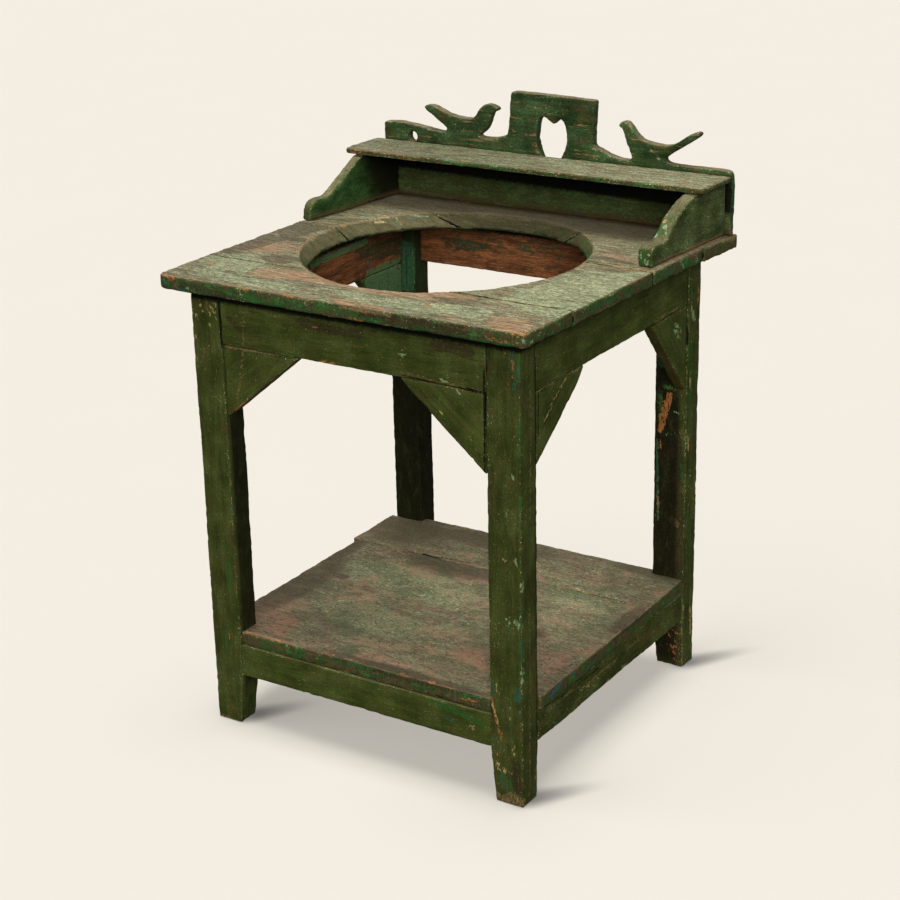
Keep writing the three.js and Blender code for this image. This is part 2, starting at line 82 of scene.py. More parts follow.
def fbm(x, y, z, s, octaves=2):
    total, amp, norm = 0.0, 1.0, 0.0
    for o in range(octaves):
        f = 2.0 ** o
        total = total + amp * vnoise(x * f + 17.3 * o, y * f - 9.1 * o, z * f + 4.7 * o, s + 31 * o)
        norm += amp
        amp *= 0.5
    return total / norm


def smooth(x, a, b):
    t = np.clip((x - a) / (b - a), 0.0, 1.0)
    return t * t * (3 - 2 * t)


# ---------------------------------------------------------------------------
# Outlines
# ---------------------------------------------------------------------------
def soften(points, corner=2.0, curve=12.0, sharp=38.0, steps=5):
    """Rounds a drawn outline: real corners a little, the other points into one flowing curve."""
    p = np.array(points, float)
    n = len(p)
    out = []
    for i in range(n):
        a, b, c = p[i - 1], p[i], p[(i + 1) % n]
        d0, d1 = b - a, c - b
        l0, l1 = np.hypot(*d0), np.hypot(*d1)
        turn = abs(math.degrees(math.atan2(d0[0] * d1[1] - d0[1] * d1[0], d0 @ d1)))
        t = corner if turn > sharp else curve
        t0, t1 = min(t, 0.5 * l0), min(t, 0.5 * l1)
        s, e = b - d0 / l0 * t0, b + d1 / l1 * t1
        for k in range(steps):
            q = k / (steps - 1)
            out.append((1 - q) ** 2 * s + 2 * q * (1 - q) * b + q * q * e)
    out = np.array(out)
    keep = np.hypot(*(out - np.roll(out, 1, axis=0)).T) > 0.02
    return out[keep]


def poly_sd(px, py, poly):
    """Signed distance to a closed outline, negative inside."""
    px, py = np.broadcast_arrays(np.asarray(px, float), np.asarray(py, float))
    best = np.full(px.shape, 1e12)
    inside = np.zeros(px.shape, bool)
    q = np.roll(poly, -1, axis=0)
    for (x0, y0), (x1, y1) in zip(poly, q):
        ex, ey = x1 - x0, y1 - y0
        wx, wy = px - x0, py - y0
        t = np.clip((wx * ex + wy * ey) / (ex * ex + ey * ey), 0, 1)
        best = np.minimum(best, (wx - t * ex) ** 2 + (wy - t * ey) ** 2)
        if y0 != y1:
            hit = (y0 > py) != (y1 > py)
            inside ^= hit & (px < x0 + (py - y0) * ex / ey)
    d = np.sqrt(best)
    return np.where(inside, -d, d)


def line_distance(px, py, pts):
    """Distance to an open line, and how far along it (0 to 1) the nearest point lies."""
    px, py = np.broadcast_arrays(np.asarray(px, float), np.asarray(py, float))
    best = np.full(px.shape, 1e12)
    along = np.zeros(px.shape)
    p = np.array(pts, float)
    seg = np.hypot(*np.diff(p, axis=0).T)
    total, run = seg.sum(), 0.0
    for (x0, y0), (x1, y1), s in zip(p[:-1], p[1:], seg):
        ex, ey = x1 - x0, y1 - y0
        t = np.clip(((px - x0) * ex + (py - y0) * ey) / (s * s), 0, 1)
        d = (px - x0 - t * ex) ** 2 + (py - y0 - t * ey) ** 2
        near = d < best
        best = np.where(near, d, best)
        along = np.where(near, (run + t * s) / total, along)
        run += s
    return np.sqrt(best), along


# ---------------------------------------------------------------------------
# Marks of use on single pieces: the kind of mark, the face it lies on (axis and
# place), its outline or line on that face, and half its width for a line
# ---------------------------------------------------------------------------
MARKS = [
    ("sage", "z", 727, [(-314.1, -210.1), (-316.8, -174.5), (-293.9, -159.7), (-275.7, -144.8), (-252.1, -147.3), (-214, -171.6), (-199.8, -193.1), (-213.7, -211.2), (-208.6, -236.9), (-235, -233.1), (-253.1, -242.8), (-295.9, -229.8)], None),
    ("tan", "z", 727, [(-210.4, -233), (-212.1, -214.1), (-197.5, -196.9), (-171.1, -190.4), (-139.4, -188.9), (-91.8, -200.1), (-44.5, -204.7), (-4.7, -207), (-1.8, -228.7), (-45.1, -228.6), (-82.1, -230.8), (-114.4, -230.3), (-174.6, -241.4)], None),
    ("tan", "z", 727, [(-323.3, -168.7), (-329.3, -104.7), (-328, -66.1), (-284.7, -64.1), (-228.5, -75.2), (-219.8, -97.3), (-251.5, -120.7), (-287.2, -136.4)], None),
    ("tan", "z", 727, [(-69.4, -194.2), (-13.5, -194.1), (44.5, -183.5), (89.1, -174.1), (139.7, -175.5), (162.6, -191.4), (139.7, -214.8), (103.8, -223), (58.7, -230.4), (7.3, -229.5), (-41.8, -221)], None),
    ("tan", "z", 727, [(-24.3, -275), (26.2, -281.5), (81.7, -284.6), (92.5, -305.7), (42.9, -305.5), (-4.5, -298)], None),
    ("tan", "z", 727, [(219.4, -253), (239.6, -247.3), (270.2, -241.2), (295.5, -268.8), (275.7, -289.8), (244.3, -281.2)], None),
    ("tan", "z", 727, [(192.7, 108), (217.9, 108.4), (254.5, 102.2), (273.7, 80.9), (245.4, 78.3), (211.5, 85.7)], None),
    ("tan", "z", 727, [(-352.3, -0.7), (-308.4, -6.5), (-279.8, -5.6), (-270.4, -28.8), (-303.1, -32)], None),
    ("tan", "z", 727, [(-302.1, -219.1), (-303.1, -203.6), (-286.1, -210.6), (-283.3, -228.2)], None),
    ("tan", "z", 727, [(-261.3, -222.7), (-260.6, -211.7), (-249.1, -213.1), (-248.4, -227.2)], None),
    ("tan", "z", 727, [(108.8, -253.5), (112.1, -243.5), (124.7, -247.7), (125.3, -263.7)], None),
    ("tan", "z", 727, [(306.6, 61.2), (306.4, 129.7), (311.3, 193.7), (320.3, 255.1), (329.2, 300.8), (320, 309.8), (308.5, 262.4), (298.3, 196.7), (297.3, 124.9)], None),
    ("sage", "z", 727, [(-45.4, -240.5), (9.7, -245.4), (67, -242.8), (126.6, -232.9), (168.2, -221.5), (219.2, -226.5), (198.1, -269.8), (135.4, -271.8), (59, -280.4), (-12.7, -274.5)], None),
    ("sage", "z", 727, [(189.4, -176.9), (200.5, -85.3), (237.8, -5.9), (293.7, 42.1), (313.6, 34.6), (311, -111.5), (309, -220.2), (255, -207.1)], None),
    ("sage", "z", 727, [(-301.4, -250.4), (-261.3, -241.6), (-198.3, -251), (-130.5, -256.7), (-89.5, -264.1), (-127.4, -284.5), (-204.3, -278.4), (-267.1, -269.4)], None),
    ("stain", "z", 727, [(-252.1, -147.3), (-232.3, -133.6), (-196.2, -124.2), (-179.9, -141.3), (-189.6, -165.6), (-215.5, -173.1)], None),
    ("stain", "z", 727, [(-293.7, -34.1), (-251, -29), (-238.2, -46.4), (-264, -53.1)], None),
    ("stain", "z", 727, [(-295.5, 307.5), (-132.5, 295.1), (56.3, 293.9), (191.5, 291.7), (218.6, 187.9), (144.9, 196.8), (-9.1, 215.5), (-172.7, 235.3), (-254.9, 255.4)], None),
    ("stain", "z", 727, [(186.7, 72.5), (215.5, 75.1), (278.8, 71.1), (255.7, 83.8), (208.7, 97.1)], None),
    ("stain", "z", 727, [(-328.9, -105.2), (-324.2, -71), (-321.6, -48.8), (-312, -71.6), (-309.9, -104.7)], None),
    ("dark", "z", 727, [(-230.8, -237.7), (-201.1, -240.3), (-179.2, -237.7)], 1.3),
    ("dark", "z", 727, [(-208.7, -235.2), (-214, -216.3), (-210.9, -205.9), (-198.5, -195.6)], 1.3),
    ("dark", "z", 727, [(-322.9, -171.8), (-276.8, -167), (-266.9, -155.2)], 1.3),
    ("dark", "z", 727, [(-334.6, -34.4), (-294.6, -38), (-244.7, -40.2)], 1.3),
    ("dark", "z", 727, [(-328.9, -105.2), (-304.8, -108.8), (-275, -109.9)], 1.3),
    ("dark", "z", 727, [(-296.7, -225.8), (-301.7, -212.5), (-303.1, -203.6), (-292.3, -207.5), (-282.5, -215.1)], 1.3),
    ("dark", "z", 727, [(-259.5, -225), (-260.6, -211.7), (-250.8, -212.1)], 1.3),
    ("dark", "z", 727, [(112.8, -259.6), (126.6, -265.7), (126, -249.7)], 1.3),
    ("dark", "z", 727, [(-308.8, -121), (-282.3, -120.4)], 1.3),
    ("dark", "z", 727, [(-316.6, 47.2), (-294.3, 46.4), (-251.3, 46.5)], 1.3),
    ("stain", "z", 727, [(-347.3, -158.2), (-342.6, -87.7), (-348.7, -13.3), (-321.9, 51.7), (-256.2, 42.5), (-268.5, -20.8), (-280.5, -102.7), (-298.5, -158.8)], None),
    ("stain", "z", 727, [(-176.5, -145.9), (-132.8, -160.6), (-91.6, -187.9), (-130.3, -184.1)], None),
    ("cream", "z", 727, [(247.9, -54), (251.7, -37.3)], 1.4),
    ("cream", "z", 727, [(255.5, -20.4), (260.6, -8.8)], 1.2),
    ("stain", "z", 727, [(93, -206.3), (152.8, -196.6), (204.5, -201.9), (168.2, -221.5), (121.4, -224.7)], None),
    ("dark", "z", 727, [(104.2, -171.7), (145.9, -172.2), (201.7, -175.9)], 1.5),
    ("dark", "z", 727, [(201.7, -175.9), (249.1, -177.9), (281.5, -171.3)], 1),
    ("dark", "z", 727, [(193.7, 59.7), (252.9, 61), (303.3, 61.3)], 1.6),
    ("orange", "z", 727, [(227.9, -282.4), (245.5, -285.7), (267.6, -291.6)], 1.6),
    ("orange", "z", 727, [(280.3, -292.3), (301.9, -298.1)], 2),
    ("orange", "z", 727, [(-321.7, -292.4), (-305.4, -296), (-290.5, -300.3)], 2),
    ("orange", "z", 727, [(209.1, 62.2), (255.9, 55.2), (306.5, 55)], 1.6),
    ("orange", "y", -299, [(-314.4, 725.8), (-303.1, 725), (-290, 723.7)], 1.4),
    ("orange", "y", -299, [(242.8, 730.9), (270.5, 728.1), (303.9, 724.1)], 2.2),
    ("orange", "y", -299, [(239.4, 713.8), (262.6, 713.1), (290.2, 713.1)], 1.4),
    ("orange", "y", -299, [(17.3, 707.9), (39.1, 706.8)], 2),
    ("orange", "y", -299, [(60.8, 705), (87.2, 703.8), (123.1, 702.7)], 1.8),
    ("orange", "y", -299, [(141, 703.3), (168.3, 702.4), (195.3, 701.5), (228.3, 702.4)], 2),
    ("orange", "y", -299, [(-164.6, 702.6), (-148.5, 701.2)], 1.6),
    ("orange", "y", -299, [(-95.3, 726.6), (-77.9, 725.8)], 1.2),
    ("orange", "y", -299, [(-170.1, 725.5), (-157.6, 724.5)], 1.2),
    ("emerald", "y", -299, [(-138.8, 711.4), (-99.9, 709.5)], 3),
    ("emerald", "y", -299, [(-72, 707.6), (-27.1, 705.2)], 3),
    ("emerald", "y", -299, [(-85.2, 720.4), (-57.4, 718.4)], 3),
    ("emerald", "y", -299, [(-33.3, 717.4), (-6.1, 715.5)], 3),
    ("emerald", "y", -299, [(-5.9, 718.4), (14.3, 715.5), (31.1, 715)], 5),
    ("emerald", "y", -299, [(44.3, 709), (65.9, 707.9)], 5),
    ("emerald", "y", -299, [(129.8, 709.4), (146, 708.2)], 5),
    ("emerald", "y", -299, [(187.5, 708.1), (231.5, 706.3), (280.9, 705.5)], 4.5),
    ("emerald", "y", -299, [(-165.5, 715.1), (-142.2, 713.9)], 4),
    ("stain", "y", -299, [(34.7, 721.3), (68, 718.9), (97.5, 717.4)], 9),
    ("stain", "y", -299, [(123.6, 715.6), (168.5, 712.3), (208.1, 709.8)], 9),
    ("stain", "y", -299, [(-281.3, 715.8), (-244.2, 713.3), (-198.4, 710.6)], 6),
    ("blue", "y", -299, [(-311, 720.9), (-309.8, 713.5)], 2),
    ("blue", "y", -299, [(-220.3, 723.3), (-217.7, 722.2)], 2),
    ("blue", "y", -299, [(-282, 707.4), (-274.6, 706.9)], 2.5),
    ("blue", "y", -299, [(-191.5, 706.6), (-186, 706.4)], 1.6),
    ("blue", "y", -299, [(217.8, 724.7), (224, 723.8)], 1.5),
    ("blue", "z", 727, [(67.9, -283.8), (83.8, -287.8)], 3),
    ("blue", "z", 727, [(100.4, -288), (115.2, -290.7)], 2),
    ("pale", "y", -299, [(-268.3, 714), (-266.5, 713.3)], 2.2),
    ("pale", "y", -299, [(-169.9, 715.7), (-167.3, 715.2)], 2.2),
    ("pale", "y", -299, [(-55.6, 720.1), (-53.9, 719.5)], 2),
    ("pale", "y", -299, [(78.1, 723.9), (81.4, 723.6)], 2.5),
    ("pale", "y", -299, [(294.8, 718.6), (299.3, 715.2)], 1.6),
    ("pale", "x", 306, [(-287.1, 710.2), (-279.2, 713.5)], 1.6),
    ("pale", "x", 306, [(-266, 715.4), (-260.7, 718)], 1.4),
    ("emerald", "x", 306, [(-294.9, 716.4), (-279.2, 714.8), (-258, 715.9)], 3),
    ("emerald", "x", 312, [(63.8, 712.1), (102.6, 711.5)], 4),
    ("emerald", "x", 312, [(142.3, 712.5), (203.5, 710)], 4),
    ("emerald", "x", 312, [(-113.2, 719), (-48.2, 716.7)], 3),
    ("pale", "x", 312, [(-147.7, 723.7), (-142, 726.5)], 1.6),
    ("pale", "x", 312, [(-78.1, 722.9), (-66.3, 724.2)], 1.4),
    ("cream", "x", 312, [(-222.8, 725.3), (-209.1, 727.3)], 1.4),
    ("tan", "x", 312, [(-265.9, 710.7), (-170.2, 709.8), (-54, 707.9)], 1.5),
    ("tan", "x", 312, [(-184.3, 731.9), (-84.2, 731.6), (22.1, 726.9)], 2),
    ("teal", "x", 312, [(70, 716.5), (109, 716)], 3),
    ("pale", "x", 312, [(135.2, 721.8), (145.7, 710.1)], 1.8),
    ("pale", "x", 312, [(182.4, 719.7), (186.4, 709.5)], 1.6),
    ("dark", "x", 309, [(-184.4, 730.1), (-180.5, 707.9)], 1.6),
    ("dark", "x", 311, [(49.3, 726.8), (50.1, 704.1)], 1.8),
    ("dark", "x", 316, [(199.5, 727), (200.6, 706.6)], 1.4),
    ("cream", "y", -279, [(-280.7, 681.9), (-279.7, 679.8)], 1.8),
    ("cream", "y", -279, [(-263.2, 690.5), (-262.3, 688.3)], 1.6),
    ("cream", "y", -279, [(-262, 683), (-261, 680.9)], 1.8),
    ("cream", "y", -279, [(-242.4, 682.7), (-241.4, 680.6)], 2.2),
    ("cream", "y", -279, [(-236.4, 676), (-235.4, 673.8)], 1.8),
    ("cream", "y", -279, [(-273.6, 667.6), (-272.6, 665.5)], 2),
    ("cream", "y", -279, [(-269.2, 663.6), (-268.3, 661.5)], 1.5),
    ("cream", "y", -279, [(-246.5, 654.7), (-245.5, 652.5)], 1.6),
    ("cream", "y", -279, [(-276.3, 634.9), (-275.4, 632.7)], 1.5),
    ("cream", "y", -279, [(-277.3, 600.6), (-276.3, 598.4)], 1.5),
    ("cream", "y", -279, [(-277.4, 507.6), (-276.4, 505.4)], 1.5),
    ("cream", "y", -279, [(-248.4, 676.6), (-247.5, 674.4)], 1.6),
    ("cream", "y", -279, [(-232.7, 687.1), (-231.8, 685)], 1.6),
    ("cream", "y", -279, [(-238.1, 689.4), (-237.2, 687.3)], 1.3),
    ("cream", "y", -279, [(-245.1, 671.7), (-244.2, 669.5)], 1.4),
    ("cream", "y", -279, [(-278.7, 674.6), (-277.7, 672.4)], 1.3),
    ("cream", "y", -279, [(-259.7, 675.7), (-258.8, 673.6)], 1.3),
    ("cream", "y", -279, [(-234.3, 667.1), (-233.3, 665)], 1.3),
    ("cream", "y", -279, [(-251, 690.6), (-250.1, 688.5)], 1.3),
    ("teal", "y", -279, [(268.9, 689.7), (273.2, 665.2), (271.4, 639.5)], 4),
    ("emerald", "y", -279, [(279.7, 688.6), (280.9, 658)], 4),
    ("orange", "y", -279, [(269.2, 680), (270.5, 650.7)], 1.4),
    ("emerald", "y", -279, [(279, 593.9), (278.7, 556.5)], 2.2),
    ("pale", "y", -279, [(283.1, 558.7), (283.7, 541.5)], 2),
    ("pale", "y", -279, [(266.9, 515), (268.4, 511)], 2.2),
    ("pale", "y", -279, [(257.5, 457.2), (258.2, 452.9)], 2.2),
    ("teal", "y", -279, [(282.5, 320.8), (282.3, 293)], 4),
    ("pale", "y", -279, [(270.9, 296.5), (275.7, 289.9)], 3),
    ("pale", "y", -279, [(257.9, 296.5), (259.4, 287.6)], 2),
    ("teal", "y", -279, [(278.8, 270.5), (278.4, 226.7)], 1.8),
    ("pale", "y", -279, [(280, 227.1), (279, 201.7)], 1.8),
    ("cream", "y", -279, [(236.7, 190.8), (238.3, 186.4)], 1.8),
    ("cream", "y", -279, [(239.1, 180.2), (240.7, 175.8)], 1.6),
    ("orange", "y", -279, [(228.7, 167.1), (232.7, 143.2), (238.1, 125.3), (245, 113.5), (243.5, 104)], 1.8),
    ("cream", "y", -279, [(230.4, 157.1), (235.1, 137.4), (240.8, 122.7)], 1.5),
    ("teal", "y", -279, [(271.5, 190.2), (273, 174.7)], 6),
    ("blue", "y", -279, [(275.8, 191.3), (275.9, 175.5)], 1.3),
    ("blue", "y", -279, [(275.4, 156.2), (276, 148.4)], 1.3),
    ("teal", "y", -279, [(228.4, 188.6), (229.6, 163.3)], 4),
    ("cream", "y", -279, [(238.2, 63.3), (239.8, 55.5)], 3),
    ("cream", "y", -279, [(248.3, 56.3), (249.9, 50.2)], 2.5),
    ("tan", "y", -279, [(239.2, 9), (254.4, 5.2)], 6),
    ("orange", "y", -279, [(239.1, 5.6), (245.9, 4.3)], 2),
    ("tan", "y", -279, [(259.6, 13.3), (271.3, 10.2), (283, 5.4)], 8),
    ("orange", "y", -279, [(264.5, 4.9), (272.9, 4)], 2),
    ("cream", "y", -279, [(268, 17.5), (271.4, 13.5)], 2),
    ("teal", "y", -279, [(244.8, 50.4), (246.2, 24.3)], 3.5),
    ("emerald", "y", -279, [(258.2, 39.4), (261.3, 18.8)], 4),
    ("stain", "y", -279, [(266.9, 73.1), (271.5, 28.4)], 8),
    ("pale", "y", -279, [(256.3, 159.1), (257.1, 156.1)], 2),
    ("pale", "y", -279, [(260.2, 142.5), (261, 139.5)], 2),
    ("tan", "y", -279, [(-276.4, 1.5), (-246.3, 0.7)], 4),
    ("tan", "x", 280, [(-256.6, -2), (-221.5, -3)], 4),
    ("tan", "y", -278, [(-182.4, 683.4), (-190.7, 611.5)], 0.9),
    ("tan", "y", -277.5, [(-191.2, 610.5), (-199.1, 567.5), (-205.7, 543)], 0.9),
    ("orange", "y", -278, [(-58.7, 680.4), (-55.9, 677.8)], 2.2),
    ("pale", "y", -278, [(88.1, 661.5), (94.7, 659.6)], 2.6),
    ("stain", "y", -278, [(146.2, 683.3), (202.3, 682)], 9),
    ("pale", "y", -278, [(154.7, 635.8), (164.4, 633.1)], 2),
    ("cream", "y", -277.5, [(179.9, 622.5), (184.7, 619)], 2),
    ("cream", "y", -277.5, [(151.5, 588.7), (154.7, 586.3)], 2),
    ("blue", "y", -278, [(159.4, 627.9), (172.3, 626.4)], 1.6),
    ("teal", "y", -277.5, [(176.7, 620.5), (189.4, 614)], 3),
    ("tan", "y", -277.5, [(-227.6, 624.9), (-185, 625.2), (-99.7, 627.8)], 1.6),
    ("emerald", "y", -278, [(-108.1, 629.6), (-86.7, 629.9)], 3),
    ("orange", "y", -278, [(-53.3, 629.2), (-23.6, 629.3)], 2),
    ("orange", "y", -277.5, [(-208.8, 526.8), (-198.9, 534.8), (-189, 542.7)], 3),
    ("teal", "y", -277.5, [(-200.1, 544), (-194.7, 540.2)], 3),
    ("tan", "x", 280, [(-252.5, 640.1), (-250.7, 575), (-253.7, 443.7)], 0.8),
    ("tan", "x", 280, [(-255.3, 322.9), (-257.3, 166.7), (-259.4, 11.1)], 0.9),
    ("orange", "x", 280, [(-244.4, 50), (-243.2, 29.5)], 1.3),
    ("emerald", "x", 280, [(-241.4, 58.5), (-239, 10.8)], 2),
    ("tan", "x", 278.5, [(-223.1, 624.2), (-150.2, 624.1), (-97.3, 620.6)], 1.5),
    ("cream", "x", 278.5, [(-150.2, 619.7), (-183.2, 597.4), (-212, 572.7)], 0.9),
    ("emerald", "x", 278.5, [(-135, 602), (-123.5, 611.9)], 2.5),
    ("emerald", "x", 278.5, [(-205.3, 615.7), (-210.9, 608.7)], 2),
    ("dark", "x", 278.5, [(-226.1, 620.5), (-226.8, 558.4)], 2),
    ("dark", "x", 278.5, [(-197, 620.5), (-219, 619.8)], 1.6),
    ("dark", "y", -277.5, [(223.8, 658.3), (221.9, 510.3)], 2.2),
    ("dark", "y", -277.5, [(196.2, 629.5), (223.2, 626.8)], 1.8),
    ("tan", "x", 278.5, [(123.3, 626.1), (156.4, 629.9), (193.7, 629.5)], 2.4),
    ("orange", "x", 278.5, [(180.1, 628.3), (193.7, 628.7)], 1.4),
    ("emerald", "x", 278.5, [(143.2, 623.9), (173.4, 626.9)], 2.5),
    ("pale", "x", 278.5, [(191.3, 606.3), (205.4, 597.7)], 2),
    ("pale", "x", 278.5, [(188.2, 597.6), (202.3, 588.9)], 2.5),
    ("pale", "x", 278.5, [(195.6, 585.9), (209.7, 578.8)], 1.6),
    ("pale", "x", 278.5, [(208.9, 596.7), (212.8, 587.7)], 1.4),
    ("emerald", "x", 278.5, [(194.8, 603.8), (199.3, 580.1)], 4),
    ("emerald", "x", 280, [(244.9, 653.2), (249.6, 629.6)], 4),
    ("emerald", "x", 280, [(248.5, 581.4), (252.7, 498.2)], 3),
    ("pale", "x", 280, [(246.7, 617.4), (254.9, 595.9)], 4),
    ("orange", "x", 280, [(268.2, 647.3), (270.6, 620.9)], 2.2),
    ("dark", "x", 280, [(231.5, 678.8), (237.2, 560.1)], 1.6),
    ("orange", "y", 236, [(245.1, 477.5), (257.3, 477.9), (254.1, 464), (248.4, 444.6), (243.5, 423.6), (237.6, 407.3), (229.6, 409.3), (231.9, 430), (236.8, 449.4), (241.8, 465.3)], None),
    ("dark", "y", 236, [(245.2, 469.2), (241.3, 446.8), (238.1, 429.4)], 0.9),
    ("dark", "y", 236, [(251.4, 468.6), (246.6, 444.3)], 0.8),
    ("dark", "y", 236, [(237, 439.3), (233.9, 415.1)], 0.7),
    ("stain", "y", 236, [(253.9, 475.6), (259.6, 449.9), (262, 423.5)], 7),
    ("cream", "y", 236, [(283.3, 115.1), (285.2, 65)], 3.2),
    ("emerald", "y", 236, [(284.1, 64.7), (285.2, 17.6)], 3),
    ("stain", "y", 236, [(243.1, 396.5), (252.5, 190.2)], 30),
    ("teal", "y", 236, [(229, 393.9), (233.2, 256.6)], 2.5),
    ("dark", "z", 162, [(-283.7, 87.4), (-218.5, 94.8), (-140.6, 114.8)], 1.6),
    ("dark", "z", 162, [(-143.2, 115.7), (-125.8, 113.6), (-109.3, 115.8)], 2),
    ("dark", "z", 162, [(-130.5, 108.5), (-118.4, 108.2)], 1.3),
    ("dark", "z", 162, [(-111.9, 116.7), (-27, 122.3)], 1.6),
    ("dark", "z", 162, [(74.1, 129), (183.1, 132.7), (267.2, 136.9)], 1.3),
    ("stain", "z", 162, [(-221.1, -30.2), (-205, -30.2)], 9),
    ("tan", "z", 162, [(-248.5, -210), (-235.8, -177), (-174.7, -193.1), (-148, -268.1), (-200.2, -257.6)], None),
    ("tan", "z", 162, [(120.3, -133.6), (145.8, -158.1), (175, -205.9), (142.5, -198.3), (85.9, -192.6)], None),
    ("tan", "z", 162, [(217.3, -116.8), (233.7, -88), (261.4, -91.4), (263.1, -140.1), (263.1, -184.7)], None),
    ("tan", "z", 162, [(-41.5, -246.5), (7.5, -237.8), (83.4, -243.8), (57.6, -258.6), (-9.1, -266.6)], None),
    ("sage", "z", 162, [(-236.3, 31.6), (-151.9, 55.9), (-47.3, 46), (35.6, 4.4), (14.1, -51), (-110.7, -35.2), (-189.5, -35.1)], None),
    ("sage", "z", 162, [(127.4, 100.9), (201.2, 99.2), (241.1, 58), (195.2, 44.3), (142.9, 57.2)], None),
    ("sage", "z", 162, [(-200.7, -130.8), (-131, -90.9), (2.8, -120.4), (5.2, -180), (-105.3, -182.5)], None),
    ("dark", "z", 162, [(-205.2, -235.7), (-160.6, -251.1)], 1.5),
    ("dark", "z", 162, [(-228.6, -194.4), (-205.1, -202.1)], 1.5),
    ("dark", "z", 162, [(-232.2, -179.2), (-214.3, -181.9)], 1.5),
    ("dark", "z", 162, [(-163, -161), (-136.1, -187.7)], 1.5),
    ("dark", "z", 162, [(231.8, -96.8), (256.3, -109.8)], 1.5),
    ("dark", "z", 162, [(234.1, -134.1), (264.3, -154.3)], 1.5),
    ("dark", "z", 162, [(250.2, -117.1), (269.5, -121.2)], 1.5),
    ("orange", "y", -277, [(-185.2, 165.2), (-158.3, 165)], 1.5),
    ("orange", "z", 162, [(-219.7, -272.8), (-199.7, -273.6)], 1.5),
    ("orange", "z", 162, [(-177.1, -272.7), (-149.9, -273.2)], 1.5),
    ("tan", "y", -277, [(-220.5, 160.1), (-170.1, 160.4), (-94, 163.8)], 2),
    ("orange", "z", 162, [(-71.8, -271.8), (-52.7, -272.5)], 1.5),
    ("orange", "z", 162, [(-31.2, -271.7), (-9.8, -270.9)], 1.5),
    ("cream", "y", -277, [(-95.8, 165), (-92.1, 164.3)], 1.3),
    ("pale", "y", -277, [(-141.5, 158.9), (-137.8, 158.1)], 1.3),
    ("emerald", "y", -277, [(-185.8, 156.6), (-141.7, 155.4)], 3),
    ("orange", "y", -277, [(66.3, 162.4), (73.4, 161.7)], 1.3),
    ("orange", "y", -277, [(-112.6, 167.7), (-78.9, 167.5)], 1.6),
    ("orange", "y", -277, [(-56.6, 168), (-19.8, 168.8)], 1.6),
    ("orange", "y", -277, [(112.1, 163.4), (126, 162.9)], 1.6),
    ("orange", "y", -277, [(129.6, 167.1), (143.4, 165)], 1.6),
    ("orange", "z", 162, [(116.1, -280.6), (150.4, -282.7)], 1.5),
    ("orange", "y", -277, [(177.4, 150.3), (201.3, 151.7)], 1.5),
    ("emerald", "y", -277, [(-20.4, 157), (16, 157.9)], 4),
    ("emerald", "y", -278, [(125.8, 132.2), (165.5, 128), (211.4, 119.2)], 5),
    ("teal", "y", -278, [(16, 141.7), (21.3, 138)], 4),
    ("teal", "y", -278, [(142.7, 113.7), (161.7, 110.6)], 3),
    ("dark", "y", -278, [(129.6, 144.7), (141.7, 141.3)], 1.5),
    ("cream", "y", -278, [(192.6, 112.4), (197.6, 107.2)], 3),
    ("blue", "x", 283.5, [(-203, 149.4), (-185.3, 154.5)], 4.2),
    ("blue", "x", 283.5, [(-185.3, 154.5), (-173.4, 158.1)], 3.2),
    ("emerald", "x", 283.5, [(-226.3, 145.5), (-211.7, 151.8)], 4),
    ("teal", "x", 283.5, [(-97.3, 145.1), (-69.2, 144.5)], 4),
    ("blue", "x", 283.5, [(-140.4, 157.4), (-131.2, 158.4)], 3),
    ("dark", "x", 281, [(-227.8, 137.4), (-141.9, 127.8), (-48.5, 126.4)], 1.8),
    ("sage", "x", -250, [(-17.9, 681.9), (9, 683.6), (44.3, 684.1), (85.9, 685), (131.2, 685.2)], 6),
    ("emerald", "x", -250, [(-26, 680.7), (3.9, 688), (44.8, 690.5), (86.3, 690.7), (142.9, 688.4)], 3),
    ("stain", "x", -250, [(91.3, 680.4), (142.4, 680.1), (230.2, 671.7), (228.5, 641.2), (181.1, 645.7), (129.1, 651.4)], None),
    ("sage", "x", -251, [(121.1, 592.4), (129.7, 637.6), (235.3, 625.7), (232.4, 570.8)], None),
    ("sage", "x", -250, [(145.6, 637.3), (186.6, 637.5), (231.3, 637.1), (230.8, 626.9), (182.9, 624.8)], None),
    ("teal", "x", -251, [(154.1, 609.5), (198, 603.7)], 4),
    ("blue", "x", -250, [(134.6, 646.7), (142.7, 638)], 3),
    ("blue", "x", -251, [(215, 585.6), (217.6, 578)], 2.5),
    ("dark", "x", -251, [(193.3, 625.5), (193.2, 598)], 1.6),
    ("teal", "y", 236, [(-252.2, 663.3), (-228.2, 662.8), (-225.8, 614.9), (-229, 576.3), (-255.3, 574.5)], None),
    ("dark", "y", 236, [(-242.7, 647.3), (-243.2, 604), (-245.1, 577.6)], 1.3),
    ("emerald", "y", 236, [(-215.3, 630.1), (-214.5, 590.5)], 2),
    ("emerald", "y", 256, [(-152.3, 664), (-128.8, 672)], 3),
    ("emerald", "y", 256, [(-132.9, 663), (-109.7, 662.5)], 3),
    ("stain", "y", 256, [(-187.4, 673.4), (-128.8, 673.7), (-71.3, 670.6), (-129.2, 653.3), (-176, 657.7)], None),
    ("teal", "y", 256, [(28, 679.6), (51.8, 679.2)], 2.5),
    ("emerald", "y", 256, [(-33.4, 680.3), (-14.7, 675.9)], 3),
    ("emerald", "y", 256, [(-26, 671.2), (-12.9, 666.2)], 2),
    ("emerald", "y", 256, [(33.4, 668.7), (40.8, 664.7)], 2.5),
    ("blue", "y", 288, [(117.2, 740.2), (149.2, 740.6), (193.2, 737.7)], 2.2),
    ("blue", "y", 288, [(37.6, 729.4), (59.5, 728.7)], 2),
